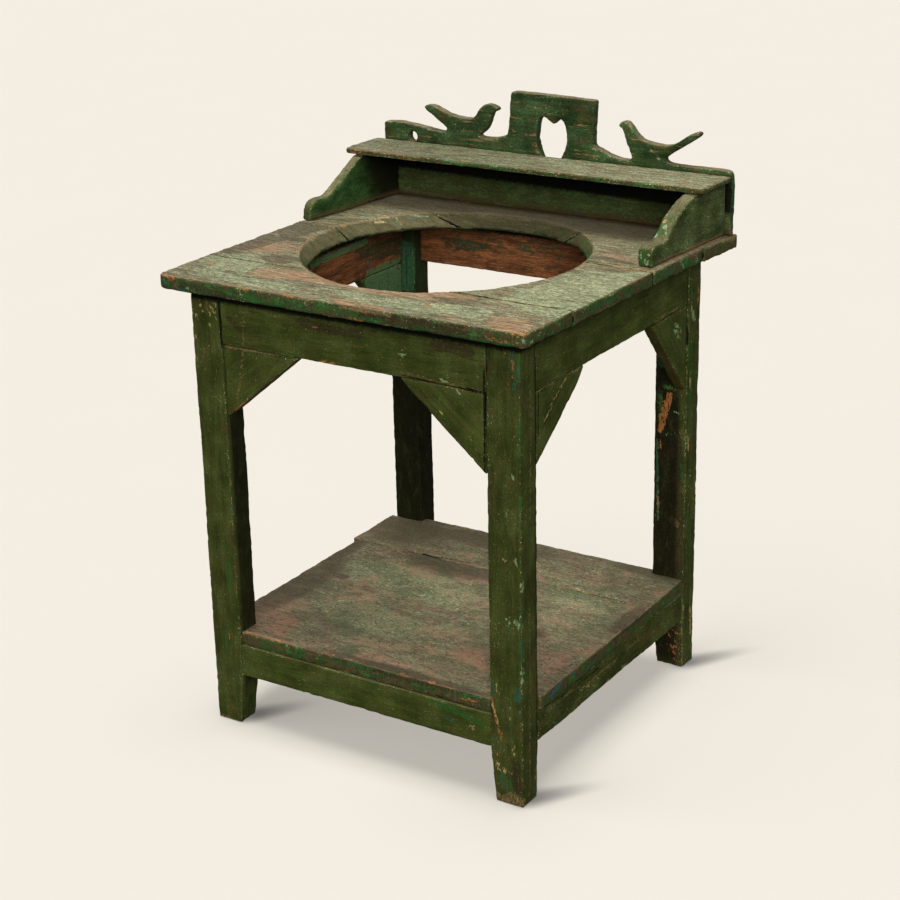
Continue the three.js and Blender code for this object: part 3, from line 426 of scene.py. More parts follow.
    ("orange", "y", 288, [(166.9, 735.4), (202, 732.3)], 3),
    ("pale", "y", 288, [(-276.2, 735.7), (-250, 734.3), (-194.4, 732.7)], 2),
    ("pale", "y", 288, [(-99.2, 732.2), (-66.9, 730.8)], 2.2),
    ("orange", "y", 288, [(77.7, 729.1), (167, 731.4)], 1.6),
    ("cream", "y", 288, [(183.5, 847.5), (188.7, 845.6)], 1.5),
    ("pale", "y", 288, [(194.1, 836.8), (199.3, 833.4)], 1.6),
    ("stain", "y", 288, [(23.1, 914.9), (91, 915.8)], 3),
    ("tan", "y", 288, [(213.8, 839.5), (237.7, 837.2)], 2),
    ("tan", "y", 288, [(244.6, 833.2), (320.1, 830)], 2.5),
    ("dark", "y", 288, [(251.5, 830), (288.5, 828.3)], 1.3),
    ("tan", "x", 321.7, [(299.4, 821.7), (305.9, 729.7)], 2),
    ("emerald", "x", 321.7, [(292.8, 813.8), (295.5, 774.4)], 3),
    ("blue", "x", 321.7, [(297.4, 747.4), (298.2, 734.6)], 2),
    ("dark", "y", -279, [(-228.5, 693.8), (-228.2, 661.9), (-228.1, 626.7)], 1.7),
    ("dark", "y", -279, [(227.2, 688.9), (227.2, 657.8)], 1.5),
    ("tan", "y", -278, [(90.5, 634.2), (136.6, 631.5), (220.4, 627.9)], 1.5),
    ("dark", "y", -278, [(-227.4, 621.9), (-184.8, 622.3), (-99.5, 624.9)], 1.4),
    ("dark", "y", -278, [(90.4, 631.3), (136.5, 628.6), (220.3, 625)], 1.4),
    ("dark", "x", 278.5, [(-219, 621.3), (-166.3, 621.5), (-97.3, 617.6)], 1.4),
    ("dark", "x", 278.5, [(113.5, 622.5), (156.6, 625.1), (207.7, 624.3)], 1.4),
    ("stain", "y", -278, [(-81.9, 682.9), (-29.8, 678.7), (21.7, 680.5)], 8),
    ("stain", "y", -278, [(-212.6, 670), (-191.6, 654.8)], 5),
    ("teal", "y", 236, [(227.4, 532.7), (234.6, 520.6)], 5),
    ("teal", "y", 236, [(231.4, 553.1), (245.5, 543.7), (252.8, 528.4)], 6),
    ("emerald", "y", 236, [(239.7, 485.8), (260.7, 483.4)], 4),
    ("emerald", "y", 236, [(232.9, 470.5), (235.8, 412.1)], 4),
    ("pale", "y", 236, [(258, 446.3), (266.8, 444.4)], 1.6),
    ("pale", "y", 236, [(244.7, 406.9), (262.3, 408.4)], 1),
    ("emerald", "y", 236, [(272, 366.1), (274.4, 335.8)], 2.2),
    ("tan", "y", 236, [(248.8, 377.1), (263, 376.3)], 1),
    ("stain", "y", 236, [(242.3, 345.1), (258.9, 226.9)], 20),
    ("cream", "x", 280, [(243.6, 404.9), (244.9, 385)], 2.6),
    ("orange", "x", 280, [(243.7, 402.3), (244.8, 388.4)], 1.6),
    ("emerald", "x", 280, [(249.5, 490.9), (252.4, 431.5)], 3),
    ("emerald", "x", 280, [(253.5, 259.8), (260.8, 186.7)], 3),
    ("cream", "x", 280, [(265.7, 102.3), (268, 54)], 2.6),
    ("dark", "x", 280, [(257.9, 109), (262, 38.2)], 1.5),
    ("emerald", "x", 280, [(266.5, 40), (270, -2.1)], 4),
    ("orange", "x", 280, [(268.4, 31.8), (272.9, 17)], 1.2),
    ("emerald", "x", 280, [(239, 559.6), (242.6, 514.4)], 2.2),
    ("cream", "x", 280, [(245.7, 510.2), (247.5, 486.5)], 1.4),
    ("emerald", "x", 280, [(242.6, 484.6), (244.8, 454)], 2.4),
    ("emerald", "x", 280, [(242.5, 427.9), (243.5, 407.4)], 2.2),
    ("stain", "y", 236, [(238.4, 64.7), (274.6, 84.2), (278.9, 52.6), (279.8, 12.6), (259.7, 9.4), (239.4, 9.9)], None),
    ("orange", "y", 236, [(256.7, 66.3), (265.9, 65.8), (273.2, 62.1)], 1.7),
    ("orange", "y", 236, [(254.1, 59.3), (258.9, 51.4)], 1.2),
    ("orange", "y", 236, [(253.7, 37.3), (262.8, 37.7), (273.8, 34.9)], 1.8),
    ("orange", "y", 236, [(261.1, 33.6), (264.9, 23.6)], 1.5),
    ("orange", "y", 236, [(266.2, 49.5), (268.2, 44.5)], 1.2),
    ("orange", "y", 236, [(265.1, 13.5), (278, 10.3)], 1.8),
    ("tan", "y", 236, [(255.7, 26.8), (257.8, 14.4)], 1.6),
    ("dark", "y", -279, [(225.5, 167), (229.3, 143.9), (235.8, 126.2), (244.8, 110.9)], 1.3),
    ("cream", "y", -279, [(252.6, 387.1), (254.1, 382.9)], 1.3),
    ("pale", "y", -279, [(271.9, 391.4), (272.7, 385.5)], 1.5),
    ("emerald", "y", -279, [(279.2, 482.2), (280.5, 453)], 1.6),
    ("pale", "y", -279, [(279.6, 355.2), (279.5, 344.5)], 1.3),
    ("emerald", "y", -279, [(277.2, 270.1), (278.5, 236.1)], 1.6),
    ("cream", "y", -279, [(265.6, 100.4), (267, 76.4)], 1.3),
    ("orange", "y", -279, [(236.8, 80.9), (238.4, 73.2)], 1.3),
    ("pale", "y", -279, [(-309.9, 398.1), (-309.5, 391.6)], 1.3),
    ("emerald", "y", -279, [(-243.3, 304.2), (-241.3, 279.7)], 2),
    ("cream", "y", -279, [(-279.5, 362.9), (-278.1, 356.6)], 1.3),
    ("teal", "y", -279, [(-248.8, 179.9), (-248.7, 155.9)], 2),
    ("orange", "y", -279, [(-248.8, 154.1), (-248.7, 142.1)], 1.3),
    ("cream", "y", -279, [(-302.7, 102.7), (-300.9, 99.6)], 1.3),
    ("dark", "x", 283.5, [(-158.5, 139.2), (-163, 126.4)], 1.3),
    ("dark", "x", 283.5, [(-125.1, 140.8), (-125, 130.8)], 1.3),
    ("emerald", "x", 283.5, [(-97.3, 141.8), (-53.3, 141), (-14.8, 141.2)], 3),
    ("pale", "x", 283.5, [(-72.3, 137.5), (-53.3, 137.6)], 1.3),
    ("tan", "x", 281, [(-207.5, 124.8), (-172, 124.9), (-129.7, 125.6)], 2),
    ("tan", "x", 281, [(-80, 115.1), (-35.6, 115.7), (10, 114.6)], 2),
    ("cream", "x", 281, [(-111.2, 113.9), (-80, 113.4)], 1.3),
    ("dark", "x", 281, [(-172.1, 108.4), (-111.2, 105.5), (-61, 104.9)], 1.3),
    ("dark", "x", 281, [(-35.4, 103.7), (3.6, 103.6)], 1.3),
    ("cream", "x", 281, [(-28.8, 90.5), (-2.7, 90.9)], 1.3),
    ("emerald", "x", 281, [(-184.1, 94.1), (-154, 91.8)], 3),
    ("pale", "x", 281, [(27, 93.4), (40.3, 92.8)], 1.3),
    ("tan", "x", 281, [(43.1, 117.5), (87.1, 117.9)], 2),
    ("cream", "y", -279, [(-281, 321.2), (-279.5, 314.9)], 2),
    ("emerald", "y", -279, [(-241.3, 279.7), (-243.2, 228.8)], 3),
    ("emerald", "y", -279, [(-254.4, 157.9), (-255.1, 123.2)], 3),
    ("teal", "y", -279, [(-243.3, 42.3), (-242, 32)], 2),
    ("tan", "y", 236, [(232.5, 293.1), (236.5, 271.3)], 4.5),
    ("tan", "y", 236, [(247.3, 270), (265.5, 256.3)], 6),
    ("tan", "y", 236, [(242.3, 345.1), (249.7, 332.8)], 3),
    ("orange", "y", 236, [(234.3, 394.9), (236.4, 378.2)], 1.4),
    ("emerald", "x", 280, [(246.7, 475.1), (250.4, 398.4)], 1.6),
    ("pale", "x", 280, [(253, 346.5), (253.6, 332.6)], 1.2),
    ("orange", "x", 280, [(248.5, 287.7), (249.1, 275.4)], 1),
    ("orange", "z", 727, [(-297.7, 262.2), (-301.8, 289.4), (-300.3, 311.6)], 2.6),
    ("dark", "z", 727, [(-307.6, 176.7), (-292, 212.3), (-292.8, 255)], 1),
    ("pale", "y", 288, [(-280.2, 736.2), (-270, 739), (-260, 736.6), (-246, 736.4)], 1.6),
    ("pale", "y", 288, [(-230.1, 733), (-214.2, 732.2), (-194.4, 731.8)], 1.3),
    ("orange", "y", 288, [(-182.7, 729.7), (-147.5, 728.5)], 1.2),
    ("cream", "z", 721, [(-226.5, 124.9), (-217.3, 137.1)], 2.2),
    ("cream", "z", 721, [(-229.7, 138.1), (-219, 151.1)], 1.4),
    ("blue", "z", 721, [(-207.6, 145.9), (-196.8, 147.1)], 1.8),
    ("pale", "z", 721, [(-207.8, 157.7), (-188.9, 152.7)], 1.6),
    ("blue", "z", 721, [(-192, 172), (-183.4, 179.5)], 1.6),
    ("pale", "z", 721, [(-183.4, 185.5), (-167.5, 196.8)], 1.4),
    ("orange", "z", 721, [(-155.2, 163), (-149.5, 163)], 1.3),
    ("blue", "z", 721, [(-153.1, 192.3), (-148.1, 193.5)], 1.3),
    ("cream", "z", 721, [(-131, 160.9), (-119.6, 169.8)], 1.3),
    ("dark", "z", 720, [(-261.8, 66.2), (-239.8, 41.8), (-213.6, 10.7)], 1.3),
    ("dark", "z", 720, [(-147.9, 225.2), (-124.9, 196.7), (-100.3, 165.5)], 1.3),
    ("orange", "y", 193, [(-315, 812.4), (-275.3, 811.4)], 1),
    ("tan", "y", 193, [(-318.7, 819.6), (-259.2, 818.7), (-181.4, 818.2)], 1),
    ("orange", "y", 193, [(-220.3, 812.5), (-189.3, 811.7)], 0.9),
    ("tan", "y", 193, [(-87, 812.2), (4.9, 809.7), (76.5, 808.4)], 1),
    ("orange", "y", 193, [(-31.6, 807.7), (22.9, 806)], 0.9),
    ("orange", "y", 193, [(129.1, 803.7), (156.8, 802.9)], 0.9),
    ("tan", "y", 193, [(163.7, 805.8), (248.5, 803.6), (314.7, 802.7)], 1),
    ("pale", "y", 193, [(-251.6, 812), (-235.9, 811.3)], 1.4),
    ("pale", "y", 193, [(-212.6, 809.3), (-201, 808.9)], 1.2),
    ("dark", "y", 193, [(-315.2, 808.4), (-181.8, 806.5)], 0.8),
    ("dark", "z", 727, [(-329.3, -38.7), (-300.6, -40.5), (-248.3, -48.3)], 1.1),
    ("dark", "z", 727, [(-217.9, -89.7), (-184.5, -89.2), (-160.1, -92)], 0.9),
    ("dark", "z", 727, [(-195.2, -285.4), (-168.8, -286.7)], 0.9),
    ("dark", "z", 727, [(-60.2, -207.2), (-18.8, -211.6)], 0.9),
    ("dark", "z", 727, [(-135.7, -329.3), (-105.9, -331.4)], 0.8),
    ("dark", "z", 727, [(57.2, -248.1), (85, -249.8)], 0.9),
    ("dark", "z", 727, [(285.5, -233), (297.9, -184), (300.8, -150)], 0.8),
    ("dark", "z", 727, [(255.2, -124.7), (293, -124.5)], 0.8),
    ("dark", "z", 727, [(272.9, -40.7), (315.8, -37.5)], 0.8),
    ("dark", "z", 727, [(185.7, -244.6), (228, -246.3)], 0.9),
    ("dark", "z", 727, [(162.5, -289.1), (198.4, -290.6)], 0.8),
    ("dark", "z", 727, [(245.4, 40.9), (284.6, 40.9)], 0.7),
    ("pale", "z", 727, [(-182.2, -290.3), (-177.2, -275.8)], 1.8),
    ("cream", "z", 727, [(-186.3, -268.7), (-163.6, -286.3)], 1.2),
    ("sage", "z", 727, [(42.4, -256.1), (69.2, -236), (104.5, -239.3), (83.3, -267.3)], None),
    ("sage", "z", 727, [(202.4, -30.8), (225, 17.7), (250.5, 13), (240.4, -40.4)], None),
    ("tan", "z", 727, [(149.9, -269.3), (181.3, -268.3), (181.7, -289.2)], None),
    ("tan", "z", 727, [(224.3, -276.5), (238.4, -258.5), (273.6, -265.4), (298.7, -287.4), (269.8, -298)], None),
    ("cream", "z", 162, [(-79.7, -17.5), (-55.9, -30.4), (-48.9, -17.6)], 1.1),
    ("cream", "z", 162, [(-3.2, -17.8), (19.9, -30.5), (22.9, -50.2)], 1.1),
    ("cream", "z", 162, [(-145.3, -81.6), (-128.2, -89.3), (-121.4, -76.7)], 1.1),
    ("cream", "z", 162, [(59.1, -75.6), (76.7, -86.2)], 1.1),
    ("cream", "z", 162, [(-162.8, -117.8), (-150.5, -102.1)], 1.1),
    ("cream", "z", 162, [(47.7, -155.5), (69.2, -174.9)], 1.1),
    ("cream", "z", 162, [(94.8, 145.4), (111.1, 136.4)], 1.1),
    ("cream", "z", 162, [(146, 120.4), (167.3, 114.8)], 1.1),
    ("cream", "z", 162, [(198.4, 97.6), (219.3, 92.2)], 1.1),
    ("cream", "z", 162, [(163.6, 69), (184.5, 63.8)], 1.1),
    ("cream", "z", 162, [(205.3, 58.6), (206.4, 76.3)], 1.1),
    ("dark", "z", 162, [(83.2, 213.3), (121.1, 178.8)], 0.9),
    ("dark", "z", 162, [(104.8, 188), (118.5, 149.8)], 0.9),
    ("dark", "z", 162, [(251.5, -131.6), (260.5, -111.2)], 0.9),
    ("dark", "z", 162, [(-222.2, -228.8), (-191.1, -244.1)], 0.9),
    ("dark", "z", 162, [(-174.8, -234.7), (-155.5, -240)], 0.9),
    ("dark", "z", 162, [(-179, -187.1), (-152.8, -180.5)], 0.9),
    ("dark", "z", 162, [(269.4, -151.4), (272.1, -119.8), (291.2, -123.8)], 0.9),
    ("dark", "z", 162, [(-271.4, -127.1), (-253.5, -107.9)], 0.9),
    ("dark", "z", 162, [(-275.2, -216.7), (-263.1, -175.3)], 0.9),
]


def mark_fields(x, y, z):
    """How far inside each kind of mark a point lies: 0.5 on its edge, 0 well outside."""
    out = {}
    p = (x, y, z)
    for kind, axis, value, pts, half in MARKS:
        k = "xyz".index(axis)
        i, j = [q for q in range(3) if q != k]
        line = np.array(pts, float)
        pad = 7.0 + (half or 0.0)
        lo, hi = line.min(axis=0) - pad, line.max(axis=0) + pad
        at = np.nonzero((np.abs(p[k] - value) < 9) & (p[i] > lo[0]) & (p[i] < hi[0]) & (p[j] > lo[1]) & (p[j] < hi[1]))[0]
        if not len(at):
            continue
        if half is None:
            sd = poly_sd(p[i][at], p[j][at], line)
        else:
            d, along = line_distance(p[i][at], p[j][at], line)
            sd = d - max(half, 1.3)
        level = np.clip(0.5 - sd / 6.0, 0, 1) * smooth(np.abs(p[k][at] - value), 9.0, 5.0)
        field = out.setdefault(kind, np.zeros(len(x)))
        field[at] = np.maximum(field[at], level)
    return out


# ---------------------------------------------------------------------------
# From a field of distances to a mesh
# ---------------------------------------------------------------------------
def grid_lines(lo, hi, fine, coarse, marks=(), band=3.5, grade=0.32):
    """Grid positions from lo to hi: close together near both ends and near each mark, wider between."""
    marks = [(lo, band), (hi, band)] + list(marks)
    x = lo - 2.35 * fine
    out = [x]
    while x < hi + 1.4 * fine:
        gap = min(max(0.0, abs(x - m) - b) for m, b in marks)
        x += min(coarse, fine + grade * gap)
        out.append(x)
    return np.array(out)


def surface_nets(F, lines):
    neg = F < 0
    n = F.shape
    cells = (n[0] - 1, n[1] - 1, n[2] - 1)
    stride = (cells[1] * cells[2], cells[2], 1)
    size = cells[0] * cells[1] * cells[2]
    total = np.zeros((3, size))
    count = np.zeros(size)
    quads = []
    for a in range(3):
        b, c = (a + 1) % 3, (a + 2) % 3
        lo = [slice(None)] * 3
        hi = [slice(None)] * 3
        lo[a], hi[a] = slice(0, -1), slice(1, None)
        idx = np.nonzero(neg[tuple(lo)] != neg[tuple(hi)])
        up = list(idx)
        up[a] = idx[a] + 1
        f0, f1 = F[idx], F[tuple(up)]
        t = f0 / (f0 - f1)
        pos = [None] * 3
        pos[a] = lines[a][idx[a]] * (1 - t) + lines[a][up[a]] * t
        pos[b], pos[c] = lines[b][idx[b]], lines[c][idx[c]]
        base = idx[a] * stride[a]
        ring = [base + (idx[b] + i) * stride[b] + (idx[c] + j) * stride[c]
                for i, j in ((-1, -1), (0, -1), (0, 0), (-1, 0))]
        for cell in ring:
            count += np.bincount(cell, minlength=size)
            for k in range(3):
                total[k] += np.bincount(cell, weights=pos[k], minlength=size)
        q = np.stack(ring, axis=1)
        flip = f0 > 0
        q[flip] = q[flip][:, ::-1]
        quads.append(q)
    used = np.nonzero(count)[0]
    remap = np.full(size, -1)
    remap[used] = np.arange(len(used))
    verts = (total[:, used] / count[used]).T
    return verts, remap[np.concatenate(quads)]


def make_mesh(name, verts, quads, attributes):
    mesh = bpy.data.meshes.new(name)
    mesh.vertices.add(len(verts))
    mesh.vertices.foreach_set("co", np.ascontiguousarray(verts, np.float32).ravel())
    mesh.loops.add(quads.size)
    mesh.loops.foreach_set("vertex_index", np.ascontiguousarray(quads, np.int32).ravel())
    mesh.polygons.add(len(quads))
    mesh.polygons.foreach_set("loop_start", np.arange(0, quads.size, 4, dtype=np.int32))
    mesh.update(calc_edges=True)
    mesh.validate()
    mesh.shade_smooth()
    for key, value in attributes.items():
        if value.ndim == 2 and value.shape[1] == 4:
            at = mesh.attributes.new(key, "FLOAT_COLOR", "POINT")
            at.data.foreach_set("color", np.ascontiguousarray(value, np.float32).ravel())
        elif value.ndim == 2:
            at = mesh.attributes.new(key, "FLOAT_VECTOR", "POINT")
            at.data.foreach_set("vector", np.ascontiguousarray(value, np.float32).ravel())
        else:
            at = mesh.attributes.new(key, "FLOAT", "POINT")
            at.data.foreach_set("value", np.ascontiguousarray(value, np.float32))
    return mesh


# ---------------------------------------------------------------------------
# A wooden piece: flat faces meeting in worn arrises
# ---------------------------------------------------------------------------
E = {"x": np.array([1.0, 0, 0]), "y": np.array([0, 1.0, 0]), "z": np.array([0, 0, 1.0])}


def axes_for(plane, angle=0.0, origin=(0, 0, 0), skew=0.0):
    """u and v lie in the plane of the piece, w goes through it. angle turns the grain."""
    first, second = {"xz": (E["x"], E["z"]), "yz": (E["y"], E["z"]), "xy": (E["x"], E["y"]), "zx": (E["z"], E["x"])}[plane]
    if skew:
        s = math.radians(skew)
        first = np.array([-math.sin(s), math.cos(s), 0.0])
    c, d = math.cos(math.radians(angle)), math.sin(math.radians(angle))
    u = c * first + d * second
    v = -d * first + c * second
    return np.array(origin, float), u, v, np.cross(u, v)


def turn_outline(points, angle):
    c, d = math.cos(math.radians(angle)), math.sin(math.radians(angle))
    p = np.array(points, float)
    return np.stack([p[:, 0] * c + p[:, 1] * d, -p[:, 0] * d + p[:, 1] * c], axis=1)


def rounded(ds, r):
    m, acc = None, 0.0
    for d in ds:
        q = d + r
        m = q if m is None else np.maximum(m, q)
        acc = acc + np.maximum(q, 0.0) ** 2
    return np.minimum(m, 0.0) + np.sqrt(acc) - r


def top_two(ds):
    first, second = None, None
    for d in ds:
        if first is None:
            first, second = d, np.full(np.shape(d), -1e3)
        else:
            first, second = np.maximum(first, d), np.maximum(np.minimum(first, d), second)
    return first, second


COUNT = {"verts": 0, "quads": 0}


def carve(name, axes, lines, faces, seed, look, cracks=(), bites=(), spots=(), lumps=(), inner=None,
          r0=1.3, r1=1.9, chip=3.0, rag=0.8, wave=0.35, warp=0.5, nodes=None, slot=None, nudge=None, soft=None):
    origin, eu, ev, ew = axes
    U, V, W = lines
    hi_lo = look["w"]

    def field(u, v, w):
        ds = faces(u, v, w)
        ds = [np.asarray(d) for d in ds]
        shape = np.broadcast_shapes(*(d.shape for d in ds))
        ds = [np.broadcast_to(d, shape) for d in ds]
        u, v, w = np.broadcast_to(u, shape), np.broadcast_to(v, shape), np.broadcast_to(w, shape)
        first, second = top_two(ds)
        prox = smooth(second, -8.0, -0.5)
        n_low = fbm(u / 60, v / 22, w / 22, seed, 2)
        n_chip = fbm(u / 13, v / 5.5, w / 5.5, seed + 5, 2)
        x = origin[0] + u * eu[0] + v * ev[0] + w * ew[0]
        y = origin[1] + u * eu[1] + v * ev[1] + w * ew[1]
        z = origin[2] + u * eu[2] + v * ev[2] + w * ew[2]
        part = soft(x, y, z) if soft else 1.0
        round_ = (r0 + r1 * smooth(n_low, 0.35, 0.8)) * part
        r = round_ + chip * part * smooth(n_chip, 0.60, 0.80)
        undulate = wave * (fbm(u / 85, v / 26, w / 26, seed + 11, 2) - 0.5)
        painted = rounded(ds, 0.85 * round_ + 0.1) + undulate
        f = rounded(ds, r) + undulate
        f = f + rag * prox * np.maximum(fbm(u / 7, v / 2.1, w / 2.1, seed + 17, 2) - 0.42, 0.0) * 3.0
        dark = np.zeros(shape)
        for (at, radii, rough) in bites:
            q = np.sqrt(((x - at[0]) / radii[0]) ** 2 + ((y - at[1]) / radii[1]) ** 2 + ((z - at[2]) / radii[2]) ** 2)
            hollow = (q - 1.0) * min(radii) + rough * (fbm(u / 6, v / 2.4, w / 2.4, seed + 23, 2) - 0.5) * 2
            f = np.maximum(f, -hollow)
        for crack in cracks:
            pts, half, depth, side = crack
            wander = 1.3 * (fbm(u / 12, 0.0, 0.0, seed + 41, 2) - 0.5)
            dist, along = line_distance(u, v + wander, pts)
            taper = np.minimum(1.0, np.minimum(along, 1 - along) * 6 + 0.25)
            if side == "through":
                down = np.zeros(shape)
            else:
                down = (hi_lo[1] - w) if side == "+" else (w - hi_lo[0])
            width = half * taper * (1.0 - np.clip(down / depth, 0, 1.5)) * (0.75 + 0.5 * fbm(u / 5, 0.0, 0.0, seed + 43, 1))
            gap = dist - width
            f = np.maximum(f, -gap)
            dark = np.maximum(dark, smooth(gap, 1.2, -0.2))
        return f, painted, second, dark, (x, y, z)

    F = field(U[:, None, None], V[None, :, None], W[None, None, :])[0]
    verts, quads = surface_nets(F, lines)
    u, v, w = verts.T
    _, painted, second, dark, (x, y, z) = field(u, v, w)
    wear = np.clip(-painted, 0.0, 12.0)
    rng = np.random.default_rng(seed)
    offset = rng.uniform(-40, 40, 3)
    wc = np.stack([u, v, w], axis=1) / 10.0 + offset
    n = len(u)
    ma, mb, mc = np.zeros((n, 4)), np.zeros((n, 4)), np.zeros((n, 4))
    ma[:, 3] = mb[:, 3] = mc[:, 3] = 1
    em = np.zeros(n)
    channel = {"orange": ma[:, 0], "cream": ma[:, 1], "teal": ma[:, 2], "blue": mb[:, 0], "dark": mb[:, 1], "pale": mb[:, 2],
               "sage": mc[:, 0], "tan": mc[:, 1], "stain": mc[:, 2], "emerald": em}
    for kind, level in mark_fields(x, y, z).items():
        channel[kind][:] = level
    for (kind, at, radii) in spots:
        q = ((x - at[0]) / radii[0]) ** 2 + ((y - at[1]) / radii[1]) ** 2 + ((z - at[2]) / radii[2]) ** 2
        channel[kind][:] = np.maximum(channel[kind], np.clip(1.25 - q, 0, 1))
    mb[:, 1] = np.maximum(mb[:, 1], dark)
    inn = inner(x, y, z) if inner else np.zeros(n)
    # a board is never quite flat
    bend = warp * (fbm(u / 260, v / 120, 0.0, seed + 61, 1) - 0.5)
    co = np.stack([x, y, z], axis=1) + bend[:, None] * ew[None, :]
    if nudge is not None:
        co = nudge(co)
    co = (co + SHIFT) * 0.001
    mesh = make_mesh(name, co, quads, {
        "wc": wc, "wear": wear, "ed": np.clip(-second, 0, 30), "ma": ma, "mb": mb, "mc": mc, "em": em, "inn": inn})
    obj = bpy.data.objects.new(name, mesh)
    SCENE.collection.objects.link(obj)
    mesh.materials.append(look["material"])
    COUNT["verts"] += len(verts)
    COUNT["quads"] += len(quads)
    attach(obj, "root")
    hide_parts(*(nodes or [name]))
    return obj


# ---------------------------------------------------------------------------
# Materials
# ---------------------------------------------------------------------------
def srgb(r, g, b, k=1.0):
    """A colour as it is seen, times k for the light that falls on it."""
    def lin(c):
        c /= 255.0
        return c / 12.92 if c <= 0.04045 else ((c + 0.055) / 1.055) ** 2.4
    return (lin(r) * k, lin(g) * k, lin(b) * k, 1.0)


class Nodes:
    def __init__(self, name):
        self.material = bpy.data.materials.new(name)
        self.material.use_nodes = True
        self.tree = self.material.node_tree
        self.tree.nodes.clear()

    def add(self, kind, **settings):
        node = self.tree.nodes.new(kind)
        for key, value in settings.items():
            setattr(node, key, value)
        return node

    def put(self, value, socket):
        if isinstance(value, bpy.types.NodeSocket):
            self.tree.links.new(value, socket)
        elif value is not None:
            socket.default_value = value

    def attribute(self, name, output="Fac"):
        node = self.add("ShaderNodeAttribute", attribute_name=name)
        return node.outputs[output]

    def split(self, colour):
        node = self.add("ShaderNodeSeparateColor")
        self.put(colour, node.inputs[0])
        return node.outputs[0], node.outputs[1], node.outputs[2]

    def math(self, op, a, b=None, c=None, clamp=False):
        node = self.add("ShaderNodeMath", operation=op, use_clamp=clamp)
        for value, socket in zip((a, b, c), node.inputs):
            self.put(value, socket)
        return node.outputs[0]

    def scaled(self, vector, scale, offset=(0, 0, 0)):
        node = self.add("ShaderNodeVectorMath", operation="MULTIPLY_ADD")
        self.put(vector, node.inputs[0])
        node.inputs[1].default_value = scale
        node.inputs[2].default_value = offset
        return node.outputs[0]

    def noise(self, vector, scale, detail=3.0, rough=0.55, distortion=0.0):
        node = self.add("ShaderNodeTexNoise")
        self.put(vector, node.inputs["Vector"])
        node.inputs["Scale"].default_value = scale
        node.inputs["Detail"].default_value = detail
        node.inputs["Roughness"].default_value = rough
        node.inputs["Distortion"].default_value = distortion
        return node.outputs[0]

    def voronoi(self, vector, scale, feature="F1", randomness=1.0):
        node = self.add("ShaderNodeTexVoronoi", feature=feature)
        self.put(vector, node.inputs["Vector"])
        node.inputs["Scale"].default_value = scale
        node.inputs["Randomness"].default_value = randomness
        return node.outputs[0]

    def step(self, value, a, b, lo=0.0, hi=1.0):
        node = self.add("ShaderNodeMapRange", interpolation_type="SMOOTHSTEP")
        self.put(value, node.inputs[0])
        node.inputs[1].default_value, node.inputs[2].default_value = a, b
        node.inputs[3].default_value, node.inputs[4].default_value = lo, hi
        return node.outputs[0]

    def ramp(self, value, *stops):
        node = self.add("ShaderNodeValToRGB")
        self.put(value, node.inputs[0])
        els = node.color_ramp.elements
        while len(els) < len(stops):
            els.new(0.5)
        for el, (at, colour) in zip(els, stops):
            el.position, el.color = at, colour
        return node.outputs[0]

    def mix(self, fac, a, b, blend="MIX"):
        node = self.add("ShaderNodeMix", data_type="RGBA", blend_type=blend, clamp_factor=True)
        self.put(fac, node.inputs[0])
        self.put(a, node.inputs[6])
        self.put(b, node.inputs[7])
        return node.outputs[2]

    def mixf(self, fac, a, b):
        node = self.add("ShaderNodeMix", data_type="FLOAT", clamp_factor=True)
        self.put(fac, node.inputs[0])
        self.put(a, node.inputs[2])
        self.put(b, node.inputs[3])
        return node.outputs[0]

    def up(self):
        node = self.add("ShaderNodeNewGeometry")
        sep = self.add("ShaderNodeSeparateXYZ")
        self.put(node.outputs["Normal"], sep.inputs[0])
        return sep.outputs[2]

    def finish(self, colour, roughness, height, specular=0.35):
        bump = self.add("ShaderNodeBump")
        bump.inputs["Strength"].default_value = 1.0
        bump.inputs["Distance"].default_value = 0.001
        self.put(height, bump.inputs["Height"])
        shader = self.add("ShaderNodeBsdfPrincipled")
        self.put(colour, shader.inputs["Base Color"])
        self.put(roughness, shader.inputs["Roughness"])
        shader.inputs["Specular IOR Level"].default_value = specular
        self.put(bump.outputs[0], shader.inputs["Normal"])
        out = self.add("ShaderNodeOutputMaterial")
        self.put(shader.outputs[0], out.inputs[0])
        return self.material


KF = 1.40   # light on the upright faces: colour as seen -> colour of the paint
KT = 0.96   # light on the faces that look up


def placed(m, s, brk, k=2.4, lo=0.58, hi=0.66, most=0.84):
    """A placed mark, broken up and ragged at its edge."""
    return m.step(m.math("ADD", m.math("MINIMUM", s, most), m.math("MULTIPLY", m.math("SUBTRACT", brk, 0.5), k)), lo, hi)


